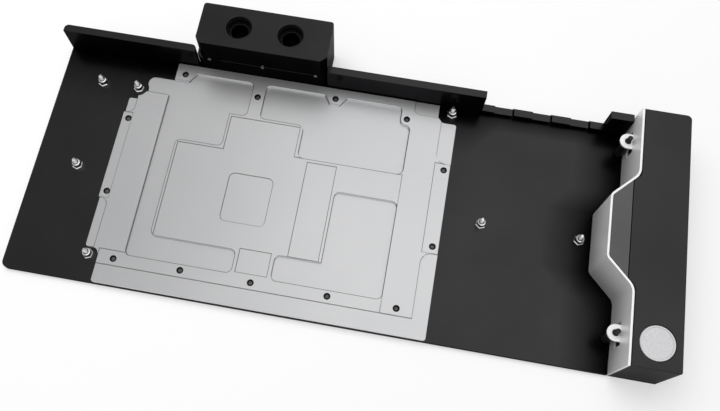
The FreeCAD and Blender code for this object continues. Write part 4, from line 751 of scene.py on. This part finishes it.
# Painted shade: a black neck in the groove and black discs on the hexagon and collar tops.
tree, get, outgoing = new_tree("standoff_painted_shade", {
    "hexagon_top": 1.9 * MM, "hexagon_shade_radius": 2.40 * MM, "neck_radius": 1.31 * MM,
    "neck_height": 0.98 * MM, "shade_height": 0.03 * MM, "collar_top": 4.6 * MM,
    "collar_shade_radius": 1.44 * MM})
place = finish_tree(tree, outgoing, get["Geometry"], [
    shaft(tree, get["hexagon_shade_radius"], get["shade_height"], get["hexagon_top"], 6),
    shaft(tree, get["neck_radius"], get["neck_height"], get["hexagon_top"], 28),
    shaft(tree, get["collar_shade_radius"], get["shade_height"], get["collar_top"], 28)],
    painted_shade_black)
turn_by_chance(tree, place)
standoff_painted_shades = scattered("standoff_painted_shades", tree, standoff_spots)
mount_piece(standoff_painted_shades, "black_steel")


# Bright strip: satin aluminium sheet bent on edge round the nose, its upper edge polished, with
# two lanced lugs folded in. Painted shade darkens its satin side toward the foot. A hexagon post
# stands under each lug and holds a black stud.
STRIP_FOOT = 2 * MM
STRIP_HEAD = 32 * MM
FOOT_SHARE = 0.6

satin_strip = finish_material("satin_strip", (0.95, 0.95, 0.96), 0.4, metallic=0.35)
vary_colour(satin_strip, cloud(satin_strip, 50), (0.92, 0.92, 0.93), (0.97, 0.97, 0.98))
sheet = satin_strip.node_tree
# Painted shade: the strip's colour is darker toward its foot.
deepen_colour(satin_strip, ramp_between(sheet, place_on_part(sheet)[2], STRIP_FOOT, STRIP_HEAD,
                                        FOOT_SHARE, 1.0))
vary_roughness(satin_strip, cloud(satin_strip, 120, stretch=(1, 1, 14)), 0.34, 0.46)
bright_edge = finish_material("bright_edge", (0.94, 0.94, 0.95), 0.4, metallic=0.25)
vary_colour(bright_edge, cloud(bright_edge, 50), (0.92, 0.92, 0.93), (0.96, 0.96, 0.97))
vary_roughness(bright_edge, cloud(bright_edge, 120), 0.34, 0.46)
trim_strip = softened_copy("trim_strip", "trim_strip_bent", 0.12, satin_strip,
                           second_finish=bright_edge)
mount_piece(trim_strip, "polished_strip", "trim_strip")

paint_nodes(black_steel, "lug_post_1", "lug_post_2")
tree, get, outgoing = new_tree("lug_stud", {
    "core_radius": 1.12 * MM, "stud_length": 11.1 * MM, "thread_pitch": 0.5 * MM,
    "thread_ridge": 0.14 * MM})
finish_tree(tree, outgoing, get["Geometry"], [
    shaft(tree, get["core_radius"], get["stud_length"], 0.0, 28),
    thread(tree, get["core_radius"], get["stud_length"], 0.0, get["thread_pitch"],
           get["thread_ridge"])], black_steel)
lug_studs = scattered("lug_studs_threaded", tree, feet_of("lug_stud_1", "lug_stud_2"))
mount_piece(lug_studs, "black_steel", "lug_stud_1", "lug_stud_2")


# End bar: a deep black shell screwed down on the plate's tab, with a dark inlay over its nose
# and a round silver disc let into its front end. Both are left plain.
satin_black = finish_material("satin_black", (0.044, 0.044, 0.045), 0.36, metallic=0.96,
                              tint=(0.45, 0.45, 0.46))
vary_colour(satin_black, cloud(satin_black, 24), (0.041, 0.041, 0.042), (0.048, 0.048, 0.049))
vary_roughness(satin_black, cloud(satin_black, 70), 0.32, 0.40)
raise_grain(satin_black, cloud(satin_black, 3200), 0.2, 0.015)
end_bar = softened_copy("end_bar", "end_bar_shell", 0.2, satin_black)
mount_piece(end_bar, "end_bar_shell", "end_bar")

dark_inlay = finish_material("dark_inlay", (0.075, 0.075, 0.076), 0.3)
vary_colour(dark_inlay, cloud(dark_inlay, 40), (0.068, 0.068, 0.069), (0.084, 0.084, 0.085))
vary_roughness(dark_inlay, cloud(dark_inlay, 160, stretch=(8, 1, 1)), 0.26, 0.36)
name_plate = softened_copy("name_plate", "name_plate_cut", 0.2, dark_inlay)
mount_piece(name_plate, "inlay", "name_plate")

DISC_RIM = 0.9 * MM
DISC_STEP = 0.25 * MM
DISC_SLOPE = 0.15 * MM
DISC_EDGE = 0.2 * MM

silver_disc = finish_material("silver_disc", (0.65, 0.65, 0.66), 0.34, metallic=0.6)
vary_colour(silver_disc, cloud(silver_disc, 2200), (0.56, 0.56, 0.57), (0.74, 0.74, 0.75))
raise_grain(silver_disc, cloud(silver_disc, 2400), 0.25, 0.02)
vary_roughness(silver_disc, cloud(silver_disc, 240), 0.28, 0.4)
disc_low, disc_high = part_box("badge_disc")
disc_radius = (disc_high.x - disc_low.x) / 2
disc_height = disc_high.z - disc_low.z
badge_disc = turned("badge_disc_turned", [
    (disc_radius, 0), (disc_radius, disc_height - DISC_EDGE),
    (disc_radius - DISC_EDGE, disc_height), (disc_radius - DISC_RIM, disc_height),
    (disc_radius - DISC_RIM - DISC_SLOPE, disc_height - DISC_STEP)],
    [((disc_low.x + disc_high.x) / 2, (disc_low.y + disc_high.y) / 2, disc_low.z)], silver_disc)
mount_piece(badge_disc, "badge", "badge_disc")


# Studio: a white floor that keeps the part's soft shadow, a wide softbox above it, and air that
# is lighter overhead on the right than on the left, which the metal shows.
FLOOR_REACH = 6.0
FLOOR_LEVEL = -0.02 * MM
FLOOR_GLOW = 0.5
AIR_LIGHT = 0.5
AIR_SEEN = 1.0
LEFT_OVERHEAD, RIGHT_OVERHEAD = 0.55, 1.3
FRONT_LEVEL, BACK_LEVEL = 0.8, 0.4

floor_data = bpy.data.meshes.new("studio_floor")
floor_data.from_pydata([(x * FLOOR_REACH, y * FLOOR_REACH, FLOOR_LEVEL)
                        for x, y in ((-1, -1), (1, -1), (1, 1), (-1, 1))], [], [(0, 1, 2, 3)])
floor = new_piece("studio_floor", floor_data)
studio_white = finish_material("studio_white", (0.98, 0.98, 0.98), 0.9, specular=0.0)
paper = studio_white.node_tree


def mix_shaders(tree, share, first, second):
    """The first shader's output, and the second's by the share."""
    blend = tree.nodes.new("ShaderNodeMixShader")
    tree.links.new(share, blend.inputs["Fac"])
    tree.links.new(first, blend.inputs[1])
    tree.links.new(second, blend.inputs[2])
    return blend.outputs[0]


look = paper.nodes.new("ShaderNodeLightPath")
seen_share = arithmetic(paper, "MULTIPLY", look.outputs["Is Camera Ray"], FLOOR_GLOW)
glowing_paper = mix_shaders(paper, seen_share, paper.nodes["Principled BSDF"].outputs[0],
                            paper.nodes.new("ShaderNodeEmission").outputs[0])
paper.links.new(glowing_paper, paper.nodes["Material Output"].inputs["Surface"])
floor_data.materials.append(studio_white)

world = bpy.data.worlds.new("studio_air")
bpy.context.scene.world = world
world.use_nodes = True
air = world.node_tree
air.nodes.clear()
heading = air.nodes.new("ShaderNodeTexCoord")
split = air.nodes.new("ShaderNodeSeparateXYZ")
air.links.new(heading.outputs["Generated"], split.inputs[0])
# A direction runs from -1 to 1 on each axis: X to the right, Y to the back and Z up.
overhead = ramp_between(air, split.outputs["X"], -0.5, 0.2, LEFT_OVERHEAD, RIGHT_OVERHEAD)
level_glow = ramp_between(air, split.outputs["Y"], -0.9, 0.2, FRONT_LEVEL, BACK_LEVEL)
height = ramp_between(air, split.outputs["Z"], 0.2, 0.75, 0.0, 1.0)
difference = arithmetic(air, "SUBTRACT", overhead, level_glow)
reflected = arithmetic(air, "ADD", arithmetic(air, "MULTIPLY", difference, height), level_glow)
light_path = air.nodes.new("ShaderNodeLightPath")


def air_of(strength):
    """White air of a strength that is a number or another node's output."""
    background = air.nodes.new("ShaderNodeBackground")
    feed(air, background.inputs["Strength"], strength)
    return background.outputs[0]


lit_or_shine = mix_shaders(air, light_path.outputs["Is Glossy Ray"], air_of(AIR_LIGHT),
                           air_of(reflected))
seen_rays = arithmetic(air, "MAXIMUM", light_path.outputs["Is Camera Ray"],
                       light_path.outputs["Is Transmission Ray"])
sky = air.nodes.new("ShaderNodeOutputWorld")
air.links.new(mix_shaders(air, seen_rays, lit_or_shine, air_of(AIR_SEEN)), sky.inputs["Surface"])

softbox_data = bpy.data.lights.new("overhead_softbox", "AREA")
softbox_data.shape = "RECTANGLE"
softbox_data.size = 1.2
softbox_data.size_y = 1.0
softbox_data.energy = 15
softbox = bpy.data.objects.new("overhead_softbox", softbox_data)
bpy.context.scene.collection.objects.link(softbox)
softbox.location = (-0.35, 0.35, 1.3)
softbox.rotation_euler = (-softbox.location).to_track_quat("-Z", "Y").to_euler()
softbox.visible_glossy = False


# Camera: it stands above the front edge and is turned a little, as in the photograph. Its lens,
# place and axes were solved from the straight edges of the real part.
IMAGE_WIDTH = 720
IMAGE_HEIGHT = 411
FOCAL_PIXELS = 815.9
AXIS_PIXEL = (341.1, 201.0)
CAMERA_PLACE = (23.4 * MM, -152.8 * MM, 400.0 * MM)
RIGHT = Vector((0.984199538, 0.177060232, 0.000970958))
DOWN = Vector((0.166712991, -0.924808577, -0.341958877))
AHEAD = Vector((-0.059649368, 0.336717641, -0.939714416))

camera_data = bpy.data.cameras.new("photo_camera")
camera_data.sensor_width = 36.0
camera_data.lens = camera_data.sensor_width * FOCAL_PIXELS / IMAGE_WIDTH
camera_data.shift_x = (IMAGE_WIDTH / 2 - AXIS_PIXEL[0]) / IMAGE_WIDTH
camera_data.shift_y = (AXIS_PIXEL[1] - IMAGE_HEIGHT / 2) / IMAGE_WIDTH
camera_data.clip_end = 50
camera = bpy.data.objects.new("photo_camera", camera_data)
bpy.context.scene.collection.objects.link(camera)
camera.matrix_world = Matrix.Translation(CAMERA_PLACE) @ Matrix(
    (RIGHT, -DOWN, -AHEAD)).transposed().to_4x4()
bpy.context.scene.camera = camera
bpy.context.scene.view_settings.view_transform = "Standard"
